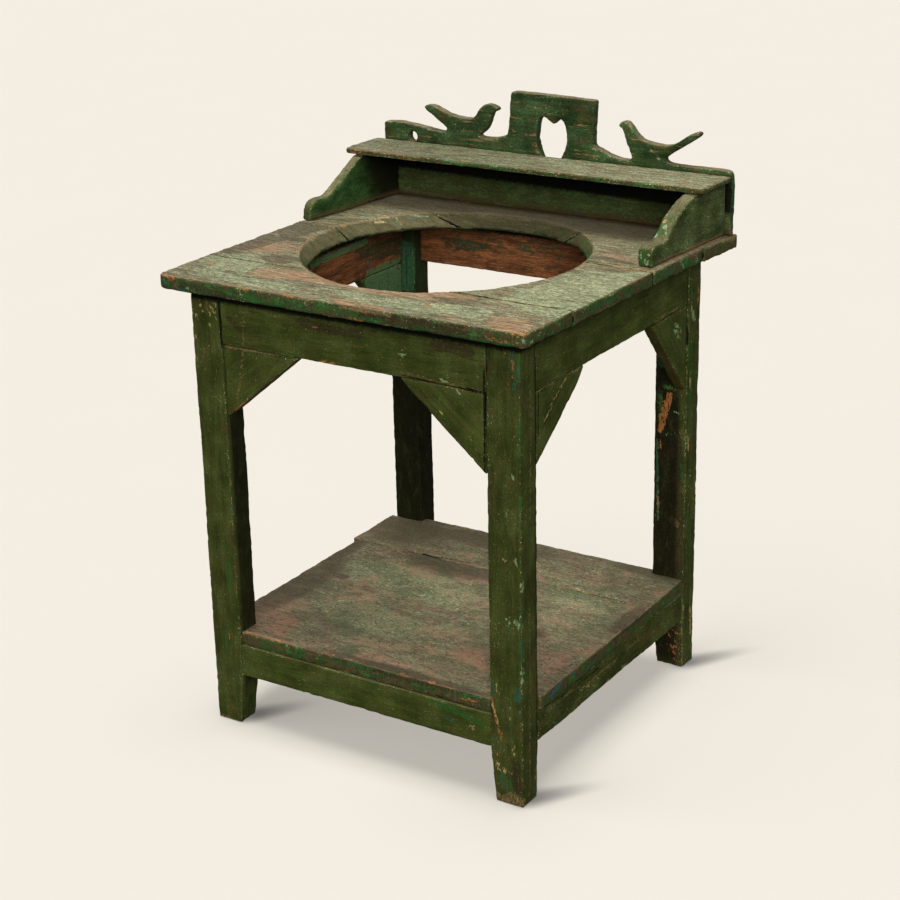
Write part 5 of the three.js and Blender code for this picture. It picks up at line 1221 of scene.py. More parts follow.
def weathered_shelf(m, s, k=1.35):
    """The lower shelf lies in shade: trodden brown-grey boards with crumbs of pale paint."""
    wc = s["wc"]
    grain = m.noise(m.scaled(wc, (0.30, 1.0, 1.0), (4, 4, 4)), 3.8, 6.0, 0.80, 0.4)
    tan = m.ramp(grain, (0.32, srgb(44, 36, 26, k)), (0.44, srgb(84, 74, 54, k)), (0.56, srgb(108, 96, 74, k)),
                 (0.72, srgb(134, 118, 92, k)))
    sage = m.ramp(m.noise(m.scaled(wc, (0.5, 1, 1), (4, 4, 4)), 3.0, 5.0, 0.78, 0.3), (0.32, srgb(58, 62, 43, k)),
                  (0.46, srgb(92, 94, 68, k)), (0.58, srgb(116, 116, 86, k)), (0.70, srgb(156, 156, 114, k)))
    cover = m.noise(m.scaled(wc, (0.24, 1, 1), (1, 2, 7)), 1.1, 6.0, 0.74, 0.35)
    cover = m.math("ADD", cover, m.math("MULTIPLY", s["sage_s"], 0.16))
    cover = m.math("SUBTRACT", cover, m.math("MULTIPLY", s["tan_s"], 0.16))
    c = m.mix(m.step(cover, 0.515, 0.528, 0.0, 0.9), tan, sage)
    c = m.mix(m.math("MULTIPLY", m.step(cover, 0.500, 0.510), m.step(cover, 0.522, 0.514, 0.0, 0.6)), c, srgb(44, 38, 27, k))
    pink = m.math("ADD", m.noise(m.scaled(wc, (0.13, 1, 1), (9, 5, 1)), 1.15, 5.0, 0.7), m.math("MULTIPLY", s["tan_s"], 0.16))
    c = m.mix(m.step(pink, 0.59, 0.65, 0.0, 0.7), c, m.mix(1.0, srgb(132, 100, 78, k), m.math("ADD", m.math("MULTIPLY", grain, 1.4), 0.3), "MULTIPLY"))
    cloud = m.noise(m.scaled(wc, (0.6, 1, 1), (8, 8, 3)), 0.26, 5.0, 0.68, 0.6)
    c = m.mix(m.step(cloud, 0.49, 0.37, 0.0, 0.75), c, m.mix(1.0, srgb(76, 80, 56, k), m.math("ADD", m.math("MULTIPLY", grain, 1.2), 0.4), "MULTIPLY"))
    c = m.mix(m.step(cloud, 0.52, 0.63, 0.0, 0.70), c, m.mix(1.0, srgb(126, 104, 80, k), m.math("ADD", m.math("MULTIPLY", grain, 1.2), 0.4), "MULTIPLY"))
    # curls and crumbs of pale paint, gathered in places
    here = m.step(m.math("ADD", m.noise(wc, 0.32, 2.0, 0.5), m.math("MULTIPLY", s["sage_s"], 0.10)), 0.50, 0.60)
    curl = m.noise(m.scaled(wc, (0.7, 1, 1), (12, 2, 11)), 1.5, 3.0, 0.62, 1.2)
    curl = m.math("MULTIPLY", m.step(m.math("ABSOLUTE", m.math("SUBTRACT", curl, 0.56)), 0.014, 0.004), m.step(s["speck"], 0.46, 0.56))
    c = m.mix(m.math("MULTIPLY", m.math("MULTIPLY", curl, here), 0.75), c, srgb(168, 170, 126, k))
    fl = m.noise(m.scaled(wc, (0.4, 1, 1), (12, 2, 11)), 3.0, 3.0, 0.62)
    c = m.mix(m.math("MULTIPLY", m.step(fl, 0.64, 0.67, 0.0, 0.7), here), c, srgb(156, 162, 122, k))
    # cracks in the paint
    cr = m.noise(m.scaled(wc, (0.8, 1, 1), (1, 6, 2)), 0.8, 3.0, 0.6, 0.9)
    cr = m.math("MULTIPLY", m.step(m.math("ABSOLUTE", m.math("SUBTRACT", cr, 0.5)), 0.009, 0.004), m.step(m.noise(wc, 0.4, 2.0, 0.5), 0.46, 0.50))
    c = m.mix(m.math("MULTIPLY", cr, 0.92), c, srgb(30, 24, 17, k))
    line = m.noise(m.scaled(wc, (0.05, 1.0, 1.0), (3, 7, 1)), 3.6, 7.0, 0.82, 0.25)
    c = m.mix(m.step(line, 0.385, 0.345, 0.0, 0.55), c, srgb(36, 29, 20, k))
    c = m.mix(m.math("MULTIPLY", m.step(m.math("ADD", s["stain_s"], m.math("MULTIPLY", m.math("SUBTRACT", grain, 0.5), 1.0)), 0.15, 0.95), 0.68), c, m.mix(m.step(s["ay"], 10.0, 13.0), srgb(56, 48, 34, k), srgb(70, 63, 46, k)))
    c = m.mix(1.0, c, m.math("MAXIMUM", m.math("ADD", 1.0, m.math("MULTIPLY", m.math("SUBTRACT", s["speck"], 0.5), 1.5)), 0.4), "MULTIPLY")
    c = m.mix(m.step(s["speck"], 0.35, 0.30, 0.0, 0.5), c, srgb(40, 34, 24, k))
    # painted shade: darker towards the left, where the table top shades the shelf
    c = m.mix(1.0, c, m.step(s["ax"], -27.0, -8.0, 0.88, 1.0), "MULTIPLY")
    worn = m.math("ADD", m.math("MULTIPLY", s["near"], 0.36), m.math("MULTIPLY", pink, 0.9))
    c = m.mix(m.step(worn, 0.68, 0.76, 0.0, 0.7), c, m.mix(m.step(s["small"], 0.45, 0.6), srgb(112, 88, 62, k), srgb(136, 104, 72, k)))
    c = m.mix(m.math("MULTIPLY", placed(m, s["orange_s"], s["brk"], 3.6), 0.8), c, srgb(160, 108, 66, k))
    c = m.mix(m.math("MULTIPLY", placed(m, s["cream_s"], s["brk"]), 0.8), c, srgb(170, 164, 118, k))
    h = m.math("ADD", m.math("MULTIPLY", m.step(cover, 0.515, 0.55), 0.14), m.math("MULTIPLY", m.step(line, 0.42, 0.34), -0.45))
    h = m.math("ADD", h, m.math("MULTIPLY", grain, 0.55))
    return c, h


def dusty_ledge(m, s):
    return weathered_top(m, s, k=KT * 0.94, back=False, more_sage=0.04)


COAT = dict(coat=srgb(55, 62, 24, KF), coat_dark=srgb(42, 49, 16, KF), coat_light=srgb(67, 74, 33, KF))
BACK = dict(coat=srgb(46, 64, 34, KF), coat_dark=srgb(26, 46, 20, KF), coat_light=srgb(60, 86, 50, KF))
EDGE = dict(coat=srgb(46, 58, 26, KF), coat_dark=srgb(34, 46, 18, KF), coat_light=srgb(48, 86, 38, KF))
TAN = srgb(128, 112, 80, KF)

FRAME_PAINT = worn_paint("frame_paint", chips=-0.02, edge=0.22, flecks=-0.2, dust=0.35, painted_overhang_shade=True, arris=TAN, brown=0.28,
                         coat=srgb(58, 66, 25, KF), coat_dark=srgb(46, 53, 18, KF), coat_light=srgb(70, 77, 34, KF))
RAIL_PAINT = worn_paint("rail_paint", chips=0.03, edge=0.30, flecks=1.4, dust=0.35, speck_k=3.4, streak=1.7, arris=TAN, **COAT)
LEG_PAINT = worn_paint("leg_paint", chips=-0.01, edge=0.24, flecks=0.45, dust=0.35, painted_overhang_shade=True, arris=TAN,
                       grime=srgb(18, 19, 7, KF), **COAT)
REAR_PAINT = worn_paint("rear_leg_paint", chips=0.0, edge=0.24, flecks=1.2, dust=0.35, painted_overhang_shade=True, arris=TAN, speck_k=2.2,
                        grime=srgb(24, 21, 10, KF), **COAT)
TOP_PAINT = worn_paint("top_boards", chips=0.02, edge=0.30, flecks=1.0, dusty_top=weathered_top, upright=board_edge, brown=0.35,
                       grime=srgb(34, 50, 24, KF), under_bare=True, **EDGE)
SHELF_PAINT = worn_paint("shelf_boards", chips=0.02, edge=0.34, flecks=0.7, dusty_top=weathered_shelf, upright=board_edge, **EDGE)
BACK_PAINT = worn_paint("back_paint", chips=0.0, edge=0.26, flecks=0.9, dust=0.8, long_chips=0.42, streak=1.6, speck_k=2.6, brown=0.6,
                        niche=True, arris=TAN, **BACK)
SCROLL_PAINT = worn_paint("scroll_paint", cheek=True, chips=0.01, edge=0.28, flecks=2.2, dust=0.55, streak=1.2, speck_k=2.6, brown=0.3, arris=TAN,
                          **dict(BACK, coat=srgb(64, 74, 40, KF), coat_dark=srgb(42, 54, 26, KF), coat_light=srgb(78, 92, 54, KF)))
LEDGE_PAINT = worn_paint("small_shelf_paint", chips=0.05, edge=0.42, flecks=2.2, brown=0.8, dusty_top=dusty_ledge, upright=board_edge, **EDGE)


def rusty_iron(name):
    m = Nodes(name)
    tc = m.add("ShaderNodeTexCoord").outputs["Object"]
    a = m.noise(tc, 900.0, 5.0, 0.7)
    b = m.noise(tc, 260.0, 3.0, 0.6)
    c = m.ramp(a, (0.3, srgb(40, 22, 12, 1.5)), (0.5, srgb(92, 48, 22, 1.5)), (0.68, srgb(140, 78, 34, 1.5)))
    c = m.mix(m.step(b, 0.5, 0.62, 0.0, 0.8), c, srgb(52, 50, 32, 1.5))
    r = m.step(a, 0.3, 0.7, 0.65, 0.95)
    return m.finish(c, r, m.math("MULTIPLY", a, 0.35), 0.3)


IRON = rusty_iron("nail_iron")


# ---------------------------------------------------------------------------
# Pieces
# ---------------------------------------------------------------------------
LEGS = {
    "leg_front_left": ((-280, -227), (-279, -236)),
    "leg_front_right": ((226, 280), (-279, -234)),
    "leg_rear_left": ((-280, -227), (236, 279)),
    "leg_rear_right": ((224, 280), (236, 278)),
}
TOP_Z, TOP_UNDER = 727.0, 705.0


def leg(name, seed, **extra):
    (x0, x1), (y0, y1) = LEGS[name]
    left, front = x0 < 0, y0 < 0

    def faces(u, v, w):
        t = np.clip(1 - u / 87.0, 0, 1)
        sway = 0.8 * (fbm(u / 150, 0.0, 0.0, seed + 71, 1) - 0.5)
        a0, a1 = x0 + (0 if left else 8 * t), x1 - (8 * t if left else 0)
        b0, b1 = y0 + (0 if front else 4.5 * t), y1 - (4.5 * t if front else 0)
        return [u - TOP_UNDER, -u + 0.25, v - a1 + sway, a0 - v - sway, w - b1, b0 - w + 0 * u]

    inner_x, inner_y = (x1 if left else x0), (y1 if front else y0)
    if front:
        inner = lambda x, y, z: np.maximum(smooth(x if not left else -x, 232.0, 226.0) * smooth(y, -275.0, -268.0),
                                           smooth(np.abs(y - inner_y), 7.0, 3.0))
    else:
        inner = lambda x, y, z: np.maximum(smooth(x, -234.0, -229.0) * smooth(x, 0.0, -1.0), smooth(np.abs(y - inner_y), 6.0, 3.0) * smooth(x, 272.0, 262.0))
    lines = (grid_lines(0, TOP_UNDER, 2.0, 4.4), grid_lines(x0, x1, 1.15, 3.2), grid_lines(y0, y1, 1.15, 3.2))
    paint = LEG_PAINT if front else REAR_PAINT
    return carve(name, axes_for("zx"), lines, faces, seed, dict(w=(y0, y1), material=paint), slot="frame_paint", inner=inner, **extra)


def stick(name, side, z0, z1, seed, **extra):
    """An apron or a rail between two legs."""
    if side in ("front", "rear"):
        a, b = LEGS["leg_%s_left" % side], LEGS["leg_%s_right" % side]
        lo, hi = a[0][1] - 0.4, b[0][0] + 0.4
        outer = a[1][0] + 1 if side == "front" else b[1][1] - (19 if name == "rail_rear" else 1)
        y0, y1 = (outer, outer + 22) if side == "front" else (outer - 22, outer)
        axes, w0, w1 = axes_for("xz"), -y1, -y0
        inner_y = y1 if side == "front" else y0
        inner = lambda x, y, z: smooth(np.abs(y - inner_y), 5.0, 2.0)
    else:
        a, b = LEGS["leg_front_%s" % side], LEGS["leg_rear_%s" % side]
        lo, hi = a[1][1] - 0.4, b[1][0] + 0.4
        deep = 8 if name == "apron_left" else 1
        outer = a[0][0] + deep if side == "left" else a[0][1] - deep
        w0, w1 = (outer, outer + 22) if side == "left" else (outer - 22, outer)
        axes = axes_for("yz")
        inner_x = w1 if side == "left" else w0
        inner = lambda x, y, z: smooth(np.abs(x - inner_x), 5.0, 2.0)

    def faces(u, v, w):
        low = 0.9 * (fbm(u / 70, 0.0, 0.0, seed + 73, 2) - 0.5)
        return [u - hi, lo - u, v - z1, z0 - v + low, w - w1, w0 - w]

    lines = (grid_lines(lo, hi, 2.0, 4.4), grid_lines(z0, z1, 1.15, 3.4), grid_lines(w0, w1, 1.15, 4.0))
    return carve(name, axes, lines, faces, seed, dict(w=(w0, w1), material=RAIL_PAINT if name == "rail_right" else FRAME_PAINT),
                 slot="frame_paint", inner=inner, **extra)


def plate(name, plane, outline, w0, w1, seed, material, slot, angle=0.0, fine=(1.8, 1.8, 1.15), coarse=(4.0, 3.0, 3.5),
          corner=2.0, curve=10.0, holes=(), origin=(0, 0, 0), skew=0.0, more=None, saw=0.5, marks_u=(), marks_v=(), **extra):
    axes = axes_for(plane, angle, origin, skew)
    poly = turn_outline(soften(outline, corner, curve), angle)
    cut = [turn_outline(soften(h, 1.2, 8.0), angle) for h in holes]

    def faces(u, v, w):
        d = poly_sd(u, v, poly)
        for h in cut:
            d = np.maximum(d, -poly_sd(u, v, h))
        d = d + saw * (fbm(u / 14, v / 14, 0.0, seed + 79, 2) - 0.5)
        ds = [d, w - w1, w0 - w]
        if more:
            o, eu, ev, ew = axes
            ds += more(o[0] + u * eu[0] + v * ev[0] + w * ew[0], o[1] + u * eu[1] + v * ev[1] + w * ew[1],
                       o[2] + u * eu[2] + v * ev[2] + w * ew[2])
        return ds

    lines = (grid_lines(poly[:, 0].min(), poly[:, 0].max(), fine[0], coarse[0], marks_u),
             grid_lines(poly[:, 1].min(), poly[:, 1].max(), fine[1], coarse[1], marks_v),
             grid_lines(w0, w1, fine[2], coarse[2]))
    return carve(name, axes, lines, faces, seed, dict(w=(w0, w1), material=material), slot=slot, **extra)


# legs
leg("leg_front_left", 101)
leg("leg_front_right", 102)
leg("leg_rear_left", 103)
leg("leg_rear_right", 104)

# aprons and lower rails
for i, side in enumerate(("front", "rear", "left", "right")):
    stick("apron_" + side, side, {"front": 627, "rear": 626, "left": 624.5, "right": 624}[side], TOP_UNDER, 110 + i)
    stick("rail_" + side, side, {"front": 86, "rear": 86, "left": 87, "right": 88}[side], 139, 120 + i)

# corner brackets; the grain follows the long side
FL, FR, RL, RR = (LEGS[k] for k in ("leg_front_left", "leg_front_right", "leg_rear_left", "leg_rear_right"))
BZ = {"front": 626.5, "left": 624.0, "right": 623.5}
e = 1.2
fy = FL[1][0] + 1.5
rx = FR[0][1] - 1.5 - 20
lx = FL[0][0] + 9.0
BRACKETS = {
    "bracket_front_left": ("xz", [[FL[0][1] + e, BZ["front"]], [FL[0][1] + e, 515], [-222, 516.5], [-91, 624], [-88.5, BZ["front"]]], -(fy + 20), -fy, 39.4),
    "bracket_front_right": ("xz", [[FR[0][0] - e, BZ["front"]], [84.5, BZ["front"]], [87, 623], [221.5, 510], [FR[0][0] - e, 508]], -(fy + 20), -fy, -40.0),
    "bracket_right_front": ("yz", [[FR[1][1] + e, BZ["right"]], [FR[1][1] + e, 516], [-229, 517.5], [-114, 602], [-96, 621], [-95, BZ["right"]]], rx, rx + 20, 37.0),
    "bracket_right_rear": ("yz", [[RR[1][0] - e, BZ["right"]], [114, BZ["right"]], [116, 621], [232, 489], [RR[1][0] - e, 487]], rx, rx + 20, -48.7),
    "bracket_left_front": ("yz", [[FL[1][1] + e, BZ["left"]], [FL[1][1] + e, 513], [-232, 514.5], [-100, 620], [-98, BZ["left"]]], lx, lx + 20, 38.6),
    "bracket_left_rear": ("yz", [[RL[1][0] - e, BZ["left"]], [116, BZ["left"]], [118, 620], [231, 492], [RL[1][0] - e, 490]], lx, lx + 20, -48.6),
}
for i, (name, (plane, outline, w0, w1, angle)) in enumerate(BRACKETS.items()):
    plate(name, plane, outline, w0, w1, 130 + i, FRAME_PAINT, "frame_paint", angle=angle, corner=1.5, curve=3.0)

# lower shelf
N = 0.8


def shelf_soft(x, y, z):
    return 0.4 + 0.6 * smooth(np.abs(y - 112.5), 3.0, 12.0)


# the stain spots along the left edge of the front board are stain and painted shade under the table top
plate("shelf_board_front", "xy", [
    [FL[0][1] + N, -277], [FR[0][0] - N, -275.5], [FR[0][0] - N, FR[1][1] + N], [283.5, FR[1][1] + N],
    [283, 112.1], [-277, 112.1], [-277.5, FL[1][1] + N], [FL[0][1] + N, FL[1][1] + N],
], 139, 162, 141, SHELF_PAINT, "shelf_boards", fine=(2.0, 1.6, 1.2), coarse=(5.0, 4.5, 4.5), corner=2.5, curve=4.0,
      r0=2.0, r1=2.4, chip=3.4, rag=1.2, wave=0.5, soft=shelf_soft,
      spots=[("stain", (-252, -90, 162), (40, 150, 12)), ("stain", (-270, 60, 162), (26, 90, 12)), ("stain", (-60, 95, 162), (130, 40, 12)),
             ("stain", (60, -270, 162), (180, 14, 12)), ("stain", (275, 60, 162), (20, 70, 12)),
             ("stain", (150, -60, 162), (50, 26, 12)), ("tan", (-225, -215, 162), (50, 50, 12)), ("tan", (-40, 70, 162), (90, 16, 12))])
plate("shelf_board_rear", "xy", [
    [-286, 112.9], [282, 112.9], [280, RR[1][0] - N], [RR[0][0] - N, RR[1][0] - N],
    [RR[0][0] - N, 249], [RL[0][1] + N, 249.5], [RL[0][1] + N, RL[1][0] - N], [-287, RL[1][0] - N],
], 139, 162, 142, SHELF_PAINT, "shelf_boards", fine=(2.0, 1.6, 1.2), coarse=(5.0, 4.5, 4.5), corner=2.5, curve=4.0,
      r0=2.0, r1=2.4, chip=3.4, rag=1.2, wave=0.5, soft=shelf_soft,
      spots=[("stain", (-235, 190, 162), (110, 75, 12)), ("stain", (-60, 215, 162), (150, 35, 12)), ("stain", (230, 235, 162), (90, 22, 12)),
             ("tan", (-235, 255, 162), (60, 20, 12))])


# table top
def hole_radius(a):
    return 228.2 - 2.8 * np.cos(2 * a) - 4.2 * np.sin(2 * a) - 1.5 * np.cos(3 * a) + 1.8 * np.sin(3 * a)


BEVEL = np.array([(-180, 26), (-165, 25), (-152, 21.5), (-142, 14.5), (-120, 12), (0, 12), (30, 13), (58, 16.5), (75, 20),
                  (90, 27), (105, 29), (145, 29.5), (165, 27.5), (180, 26)], float)


def basin_hole(x, y, z):
    r = np.hypot(x + 27.0, y - 21.0)
    a = np.arctan2(y - 21.0, x + 27.0)
    rim = hole_radius(a)
    run = np.interp(np.degrees(a), BEVEL[:, 0], BEVEL[:, 1])
    return [(rim - run * (TOP_Z - z) / 20.5 - r) * 20.5 / np.hypot(run, 20.5), rim - run - r + 0 * z]


def seam_soft(x, y, z):
    """1 at the outer arrises, less where two boards meet."""
    seam = np.minimum(np.minimum(np.abs(y + 175.0), np.abs(y - 54.0)), np.abs(y - 205.0))
    return 0.35 + 0.65 * smooth(seam, 3.0, 14.0)


TOPS = {
    "top_board_front": ([[-327, -283], [-325.3, -290], [-320.5, -296], [-312, -299], [292, -299], [297.5, -297], [300.6, -292.5], [301.2, -284], [304, -175.25], [-328, -175.25]], None),
    "top_board_second_left": ([[-328, -174.75], [306, -174.75], [311, 53.75], [-328, 53.75]], -1),
    "top_board_second_right": ([[-328, -174.75], [306, -174.75], [311, 53.75], [-328, 53.75]], 1),
    "top_board_third_left": ([[-328, 54.25], [311, 54.25], [316, 204.75], [-327.5, 204.75]], -1),
    "top_board_third_right": ([[-328, 54.25], [311, 54.25], [316, 204.75], [-327.5, 204.75]], 1),
    "top_board_rear": ([[-327.5, 205.25], [318.5, 205.25], [326.5, 300], [325, 309], [-327, 309]], None),
}
for i, (name, (outline, half)) in enumerate(TOPS.items()):
    axes = axes_for("xy")
    poly = soften(outline, 3.0, 6.0)

    def faces(u, v, w, poly=poly, s=150 + i):
        d = poly_sd(u, v, poly) + 1.2 * (fbm(u / 22, v / 16, 0.0, s, 2) - 0.42)
        return [d, w - TOP_Z, TOP_UNDER - w] + basin_hole(u, v, w)

    x0, x1 = poly[:, 0].min(), poly[:, 0].max()
    y0, y1 = poly[:, 1].min(), poly[:, 1].max()
    U = grid_lines(x0, x1, 1.7, 3.4)
    if half == -1:
        U = U[U < -40.0]
    elif half == 1:
        U = U[U > -12.0]
    lines = (U, grid_lines(y0, y1, 1.6, 3.2), grid_lines(TOP_UNDER, TOP_Z, 1.2, 3.2, [(710, 1.5)]))
    carve(name, axes, lines, faces, 150 + i, dict(w=(TOP_UNDER, TOP_Z), material=TOP_PAINT), slot="top_boards",
          r0=2.4, r1=2.6, chip=3.6, rag=1.1, wave=0.6, warp=0.5, soft=seam_soft,
          spots=[("dark", (0, y, 714.5), (600, 1.9, 10.5)) for y in (-175, 54, 205)],
          inner=lambda x, y, z: smooth(np.hypot(x + 27.0, y - 21.0), 232.0, 222.0) * smooth(z, 712.0, 709.0))

# backboard
CREST = [
    [-314.4, 727], [321.7, 727], [321.7, 818], [320.4, 823.5], [317, 827], [311, 828.3], [286.7, 828], [251.6, 827.8], [234.6, 827.8], [217.5, 828.8],
    [210.5, 830.8], [207.5, 835.8], [217.1, 843.8], [233.6, 853.8], [250.6, 864.8], [265.1, 874.8], [267.1, 878.9], [263.6, 881.9],
    [250.3, 877.9], [237.6, 869.3], [225.3, 860.8], [215.5, 857.1], [206.5, 855.8], [196.3, 856.5], [185.5, 857.4], [175.5, 859.2],
    [168.4, 860.8], [163.3, 863.8], [157.4, 869.3], [152.8, 875.3], [148.4, 880.9], [144, 885.2], [139.4, 887.9], [134.4, 887.9],
    [130, 885.6], [125.7, 880.9], [129.2, 877.4], [133.4, 875.3], [135.4, 869.5], [139, 860.5], [142.4, 851.4], [146.2, 842.3],
    [150.4, 833.3], [147.4, 828.3], [138.4, 827.3], [130.4, 827.4], [121.8, 828.8], [112.8, 831.2], [104, 834.8], [95, 838.8],
    [86.1, 841.3], [81.7, 845.8], [82.3, 869.4], [85.7, 913.4], [84.3, 915.4], [41.2, 916.4], [5.2, 917.3], [-30.9, 917.9], [-65, 917.9],
    [-67.8, 915.9], [-70.6, 892.9], [-72.8, 871.4], [-74.5, 854.8], [-76, 847.3], [-88, 842], [-102, 839], [-121.1, 838.8],
    [-128.6, 840.8], [-118.1, 849.2], [-110.6, 859.8], [-106.9, 870.2], [-102.5, 880.9], [-95.7, 882.9], [-92.8, 886.4],
    [-99.8, 891.9], [-110.1, 893.9], [-118.1, 892.4], [-123.1, 889.4], [-131.1, 880.5], [-136.1, 872.8], [-141.7, 867.2], [-156.1, 867.1],
    [-169.7, 868.1], [-185.2, 870.8], [-202.2, 876.9], [-218.9, 883.7], [-230.7, 882.4], [-235.3, 877.9], [-222.3, 868.1],
    [-206.8, 857.9], [-199.1, 853.7], [-190.7, 847.3], [-194.2, 841.3], [-203.2, 840.3], [-223.3, 843.2], [-242.3, 846.5],
    [-262.3, 848.3], [-282.4, 850.8], [-312.4, 848.3], [-314.4, 846.3],
]
TULIP = [
    [9.5, 871.2], [2.6, 875.3], [-2.4, 879.4], [-6.9, 881.4], [-11.6, 881.3], [-17.9, 874.8], [-19.9, 860.1], [-21, 847.8],
    [-19.7, 837.8], [-16.9, 828.8], [-12.9, 818.7], [-6.9, 807.7], [1.1, 798.2], [7.2, 793.7], [13.2, 798.2], [19.2, 806.7],
    [23.9, 818.3], [27.7, 826.8], [31.2, 835.8], [34.5, 846.8], [33.6, 859.8], [31.2, 869.5], [26.7, 877.2], [21.7, 880.7], [16.2, 876.9],
]
HANG_HOLE = [[-258.3 + 8.5 * math.cos(k * math.pi / 6), 827.8 + 8.5 * math.sin(k * math.pi / 6)] for k in range(12)]
plate("backboard", "xz", CREST, -305, -288, 161, BACK_PAINT, "back_paint", fine=(1.9, 1.9, 1.15), coarse=(1.9, 1.9, 3.0),
      corner=2.4, curve=9.0, holes=[TULIP, HANG_HOLE], r0=2.2, r1=2.6, chip=2.6, rag=0.9,
      soft=lambda x, y, z: 1.0 + 0.9 * smooth(x, 296.0, 316.0))

# scroll brackets
SCROLLS = {
    "scroll_bracket_left": ((-327.5, 65), -5.8, 19, [
        [0, 727], [0.5, 738], [2, 745], [5.5, 752], [13, 758], [24, 760], [40, 758.5], [48, 760],
        [60, 766.5], [81, 779], [103, 793], [121, 804], [133, 811], [228, 811], [228, 727]]),
    "scroll_bracket_right": ((275.5, 68.2), -3.6, 24.5, [
        [0, 727], [0, 748], [2.5, 754.5], [9, 758], [22, 758.5], [37, 757.5], [43, 760], [52, 768],
        [61, 777], [69, 782.5], [82, 790], [95, 798], [106, 804], [118, 807], [128, 808.5], [136, 811], [224, 811], [224, 727]]),
}
SCROLL_SPOTS = {
    "scroll_bracket_left": [("pale", (-321, 150, 788), (7, 14, 9)), ("emerald", (-309, 110, 748), (4, 22, 10)),
                            ("teal", (-309, 138, 752), (4, 9, 7)), ("emerald", (-310, 170, 770), (4, 16, 16)),
                            ("pale", (-316, 120, 772), (6, 10, 8)), ("stain", (-308, 235, 765), (5, 60, 45)),
                            ("orange", (-309, 240, 731), (5, 7, 4))],
    "scroll_bracket_right": [("emerald", (284, 119, 768), (10, 9, 9)), ("pale", (281, 115, 763), (4, 5, 5)), ("pale", (291, 126, 774), (4, 6, 5)),
                             ("cream", (286, 134, 781), (4, 4, 4)), ("emerald", (294, 139, 784), (7, 8, 7)), ("pale", (296, 120, 768), (3, 5, 4)),
                             ("pale", (283, 145, 789), (5, 3, 3)), ("pale", (291, 68, 735), (5, 4, 6)), ("pale", (281, 68, 743), (3, 4, 4)),
                             ("emerald", (286, 68, 740), (10, 5, 12)), ("cream", (295, 68, 746), (3, 4, 3)), ("emerald", (300, 232, 778), (6, 5, 14)),
                             ("teal", (300, 262, 745), (6, 5, 12)), ("pale", (300, 100, 752), (3, 4, 4)), ("cream", (300, 150, 770), (3, 4, 3)),
                             ("pale", (300, 190, 790), (3, 5, 3)), ("tan", (300, 110, 760), (4, 16, 3)), ("emerald", (300, 120, 742), (5, 12, 5))],
}
for i, (name, (front, skew, thick, outline)) in enumerate(SCROLLS.items()):
    plate(name, "yz", outline, 0, thick, 171 + i, SCROLL_PAINT, "back_paint", fine=(1.8, 1.8, 1.15), coarse=(2.6, 2.6, 3.0),
          corner=2.5, curve=14.0, origin=(front[0], front[1], 0), skew=skew, more=lambda x, y, z: [y - 287.7],
          r0=2.6, r1=3.0, chip=3.0, rag=1.0, spots=SCROLL_SPOTS[name])

# small shelf
plate("small_shelf", "xy", [
    [-327, 193.5], [-322, 192], [-140, 192.5], [40, 193.5], [250, 193], [316, 193.5], [319, 199], [321, 226],
    [322, 258], [321.5, 287.7], [-328.5, 287.7], [-331.5, 250], [-332, 214], [-330, 199],
], 811, 820, 181, LEDGE_PAINT, "small_shelf", fine=(1.7, 1.5, 1.0), coarse=(3.4, 3.4, 2.0), corner=3.0, curve=14.0,
      r0=1.6, r1=1.8, chip=2.0, rag=0.8)


# ---------------------------------------------------------------------------
# Cut nails: hammered rose heads, shank and point
# ---------------------------------------------------------------------------
def nail(name, at, into, length, seed, sink=0.2):
    rng = np.random.default_rng(seed)
    d = Vector(into).normalized()
    turn = Vector((0, 0, -1)).rotation_difference(d).to_matrix() if abs(d.z + 1) > 1e-6 else Matrix.Identity(3)
    rings = [(0.0, -0.25), (1.0, -0.22), (2.0, -0.08), (2.8, 0.12), (3.3, 0.42), (3.35, 0.75), (3.1, 1.1), (1.9, 1.3),
             (1.4, 1.5), (1.35, length * 0.3), (1.3, length * 0.6), (1.2, length - 4), (0.25, length)]
    n = 18
    verts, faces = [], []
    wob = 1 + 0.09 * np.array([math.sin(2 * math.pi * k / n * 2 + seed) + 0.6 * math.sin(2 * math.pi * k / n * 3 + seed * 2.1) for k in range(n)])
    for j, (r, h) in enumerate(rings):
        if r == 0:
            verts.append((0, 0, -(h + sink)))
            continue
        for k in range(n):
            a = 2 * math.pi * k / n
            q = r * (wob[k] if j < 7 else 1.0)
            verts.append((q * math.cos(a), q * math.sin(a), -(h + sink + (rng.uniform(-0.09, 0.09) if j < 4 else 0))))
    for k in range(n):
        faces.append((0, 1 + k, 1 + (k + 1) % n))
    for j in range(len(rings) - 2):
        for k in range(n):
            a, b = 1 + j * n + k, 1 + j * n + (k + 1) % n
            faces.append((a, a + n, b + n, b))
    last = 1 + (len(rings) - 2) * n
    faces.append(tuple(last + n - 1 - k for k in range(n)))
    origin = Vector(at)
    mesh = bpy.data.meshes.new(name)
    shift = Vector(SHIFT)
    mesh.from_pydata([((turn @ Vector(v)) + origin + shift) * 0.001 for v in verts], [], faces)
    mesh.validate()
    mesh.shade_smooth()
    obj = bpy.data.objects.new(name, mesh)
    SCENE.collection.objects.link(obj)
    mesh.materials.append(IRON)
    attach(obj, "root")
    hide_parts(name)
    return obj


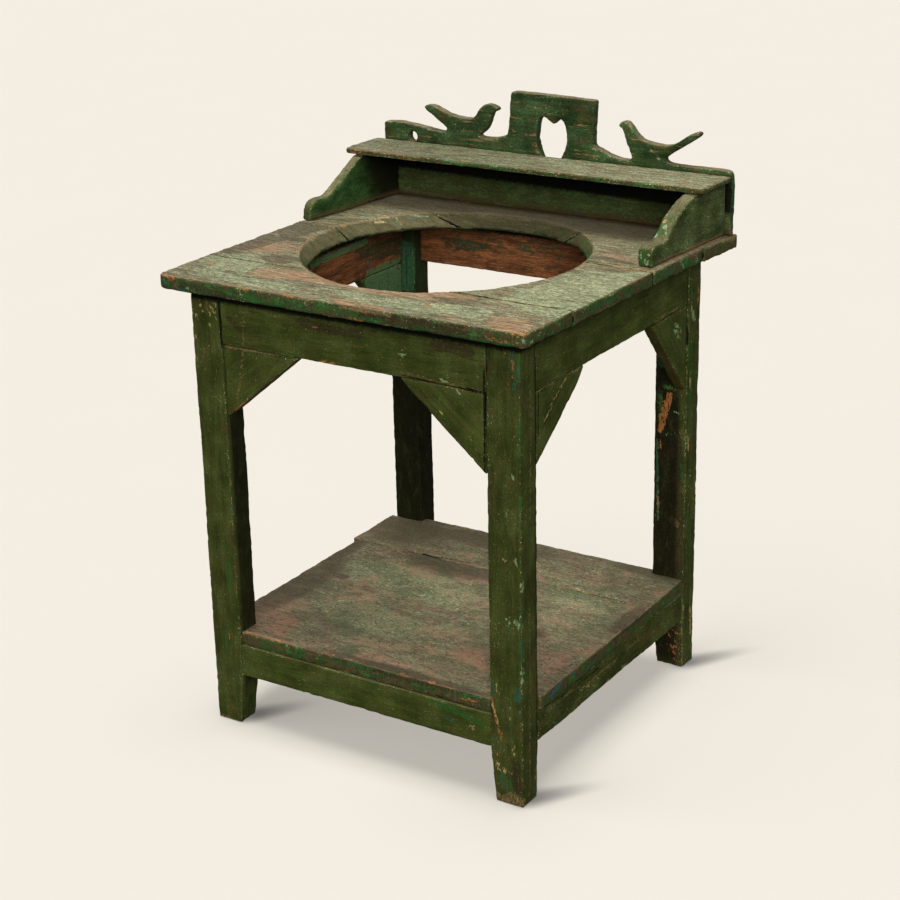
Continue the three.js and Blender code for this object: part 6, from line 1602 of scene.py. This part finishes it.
NAILS = [
    ("nail_top_front_left", (-150, -267, 727), (0, 0, -1), 52), ("nail_top_front_right", (150, -267, 727), (0, 0, -1), 52),
    ("nail_top_second_left", (-261, -62, 727), (0, 0, -1), 52), ("nail_top_second_right", (268, -58, 727), (0, 0, -1), 52),
    ("nail_top_third_left", (-261, 128, 727), (0, 0, -1), 52), ("nail_top_third_right", (268, 132, 727), (0, 0, -1), 52),
    ("nail_top_rear_left", (-150, 266, 727), (0, 0, -1), 52), ("nail_top_rear_right", (150, 266, 727), (0, 0, -1), 52),
    ("nail_shelf_front_left", (-268, -70, 162), (0, 0, -1), 50), ("nail_shelf_front_right", (268, -64, 162), (0, 0, -1), 50),
    ("nail_shelf_rear_left", (-268, 178, 162), (0, 0, -1), 50), ("nail_shelf_rear_right", (268, 174, 162), (0, 0, -1), 50),
    ("nail_leg_front_right", (237, -279, 104), (0, 1, 0), 36),
    ("nail_bracket_front_left", (-150, fy + 20, 615), (0, -0.26, 0.966), 46),
    ("nail_bracket_front_right", (150, fy + 20, 615), (0, -0.26, 0.966), 46),
    ("nail_bracket_right_front", (rx, -160, 613), (0.26, 0, 0.966), 46),
    ("nail_bracket_right_rear", (rx, 180, 613), (0.26, 0, 0.966), 46),
    ("nail_bracket_left_front", (lx + 20, -160, 614), (-0.26, 0, 0.966), 46),
    ("nail_bracket_left_rear", (lx + 20, 222, 616), (-0.26, 0, 0.966), 46),
    ("nail_small_shelf_left", (-298, 262, 820), (0, 0, -1), 42), ("nail_small_shelf_right", (299.6, 258, 820), (0, 0, -1), 42),
    ("nail_scroll_left", (-309.5, 150, 705), (0, 0, 1), 52), ("nail_scroll_right", (298, 230, 705), (0, 0, 1), 52),
    ("nail_backboard_left", (-200, 296.5, 705), (0, 0, 1), 58), ("nail_backboard_right", (200, 296.5, 705), (0, 0, 1), 58),
]
for i, (name, at, into, length) in enumerate(NAILS):
    nail(name, at, into, length, 300 + i)

# ---------------------------------------------------------------------------
# Floor, light, camera
# ---------------------------------------------------------------------------
FLOOR_GLOW = 0.378
fm = Nodes("studio_floor")
fv = fm.add("ShaderNodeTexCoord").outputs["Object"]
fn = fm.noise(fv, 3.0, 3.0, 0.5)
fc = fm.ramp(fn, (0.3, (0.0632, 0.0597, 0.0530, 1)), (0.7, (0.0638, 0.0603, 0.0535, 1)))
sx, sy, _ = fm.split(fv)
# painted shadows on the floor: a darker wedge beside three of the feet, in the base colour and the glow
foot_shadow_paint = None
for (px, py), (dx, dy), reach in (((0.272, -0.262), (0.622, 0.783), 0.150), ((0.276, 0.252), (0.590, 0.807), 0.160), ((-0.236, -0.256), (0.570, 0.821), 0.130)):
    ux, uy = fm.math("SUBTRACT", sx, px), fm.math("SUBTRACT", sy, py)
    run = fm.math("ADD", fm.math("MULTIPLY", ux, dx), fm.math("MULTIPLY", uy, dy))
    off = fm.math("ABSOLUTE", fm.math("SUBTRACT", fm.math("MULTIPLY", ux, dy), fm.math("MULTIPLY", uy, dx)))
    half = fm.math("MAXIMUM", fm.math("SUBTRACT", 0.036, fm.math("MULTIPLY", run, 0.13)), 0.004)
    tone = fm.math("MULTIPLY", fm.step(fm.math("DIVIDE", off, half), 1.0, 0.1), fm.math("MULTIPLY", fm.step(run, reach, -0.01), fm.step(run, -0.035, 0.015)))
    foot_shadow_paint = tone if foot_shadow_paint is None else fm.math("MAXIMUM", foot_shadow_paint, tone)
shader = fm.add("ShaderNodeBsdfPrincipled")
fm.put(fm.mix(fm.math("MULTIPLY", foot_shadow_paint, 0.72), fc, (0.004, 0.004, 0.005, 1)), shader.inputs["Base Color"])
shader.inputs["Roughness"].default_value = 1.0
shader.inputs["Specular IOR Level"].default_value = 0.0
fm.put(fm.mix(fm.math("MULTIPLY", foot_shadow_paint, 0.80), (0.896, 0.844, 0.752, 1), (0.20, 0.19, 0.18, 1)), shader.inputs["Emission Color"])
shader.inputs["Emission Strength"].default_value = FLOOR_GLOW
fm.put(shader.outputs[0], fm.add("ShaderNodeOutputMaterial").inputs[0])
floor_material = fm.material
mesh = bpy.data.meshes.new("floor")
mesh.from_pydata([(-60, -60, 0), (60, -60, 0), (60, 60, 0), (-60, 60, 0)], [], [(0, 1, 2, 3)])
floor = bpy.data.objects.new("floor", mesh)
SCENE.collection.objects.link(floor)
mesh.materials.append(floor_material)
floor.visible_diffuse = False
floor.visible_glossy = False
floor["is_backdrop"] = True

world = bpy.data.worlds.new("studio")
SCENE.world = world
world.use_nodes = True
wt = world.node_tree
wt.nodes.clear()
tc = wt.nodes.new("ShaderNodeTexCoord")
sep = wt.nodes.new("ShaderNodeSeparateXYZ")
wt.links.new(tc.outputs["Generated"], sep.inputs[0])
ramp = wt.nodes.new("ShaderNodeValToRGB")
mr = wt.nodes.new("ShaderNodeMapRange")
mr.inputs[1].default_value, mr.inputs[2].default_value = -1.0, 1.0
wt.links.new(sep.outputs[2], mr.inputs[0])
wt.links.new(mr.outputs[0], ramp.inputs[0])
els = ramp.color_ramp.elements
els[0].position, els[0].color = 0.0, (0.05, 0.05, 0.045, 1)
els[1].position, els[1].color = 1.0, (0.50, 0.50, 0.49, 1)
for at, v in ((0.48, 0.06), (0.54, 0.13), (0.75, 0.28)):
    el = els.new(at)
    el.color = (v, v, v * 0.98, 1)
bg = wt.nodes.new("ShaderNodeBackground")
bg.inputs[1].default_value = 1.0
wt.links.new(ramp.outputs[0], bg.inputs[0])
out = wt.nodes.new("ShaderNodeOutputWorld")
wt.links.new(bg.outputs[0], out.inputs[0])


def sun(name, direction, strength, angle, colour=(1, 1, 1)):
    light = bpy.data.lights.new(name, "SUN")
    light.energy = strength
    light.angle = math.radians(angle)
    light.color = colour
    obj = bpy.data.objects.new(name, light)
    obj.rotation_euler = Vector(direction).to_track_quat("-Z", "Y").to_euler()
    SCENE.collection.objects.link(obj)
    return obj


def only(name, objects):
    group = bpy.data.collections.new(name)
    for o in objects:
        group.objects.link(o)
    return group


stand = only("washstand_only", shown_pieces())
ground = only("floor_only", [floor])
low = only("low_pieces", [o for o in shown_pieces() if o.name.startswith(("shelf_board", "rail", "leg"))])
legs = only("legs_only", [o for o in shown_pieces() if o.name.startswith("leg")])
key = sun("key", (0.17, 0.06, -1.0), 2.4, 30)
front = sun("front_softbox", (-0.52, 0.74, -0.46), 1.95, 34)
behind = sun("back_softbox", (0.55, -0.80, -0.22), 0.85, 40)
key.light_linking.receiver_collection = stand
behind.light_linking.receiver_collection = stand
front.light_linking.receiver_collection = stand
# two lights for the floor alone: one from straight above, one that darkens it beside the feet
above = sun("floor_above", (-0.03, 0.0, -1.0), 19.9, 38)
above.light_linking.receiver_collection = ground
above.light_linking.blocker_collection = low
side = sun("floor_side", (0.347, 0.494, -0.797), 9.0, 50)
side.light_linking.receiver_collection = ground
side.light_linking.blocker_collection = legs

camera_data = bpy.data.cameras.new("camera")
camera_data.sensor_width = 36.0
camera_data.lens = 2000.74 / 900.0 * 36.0
camera_data.clip_end = 100.0
camera = bpy.data.objects.new("camera", camera_data)
yaw, pitch, roll = (math.radians(a) for a in (32.77, -20.57, -1.26))
fwd = Vector((-math.sin(yaw) * math.cos(pitch), math.cos(yaw) * math.cos(pitch), math.sin(pitch)))
right0 = Vector((math.cos(yaw), math.sin(yaw), 0))
up0 = right0.cross(fwd)
right = right0 * math.cos(roll) + up0 * math.sin(roll)
upv = -right0 * math.sin(roll) + up0 * math.cos(roll)
m3 = Matrix((right, upv, -fwd)).transposed()
camera.matrix_world = Matrix.Translation(Vector((1.57295, -2.46316, 1.50721))) @ m3.to_4x4()
SCENE.collection.objects.link(camera)
SCENE.camera = camera
SCENE.view_settings.view_transform = "Standard"

bpy.context.view_layer.update()
print("MESH", COUNT)
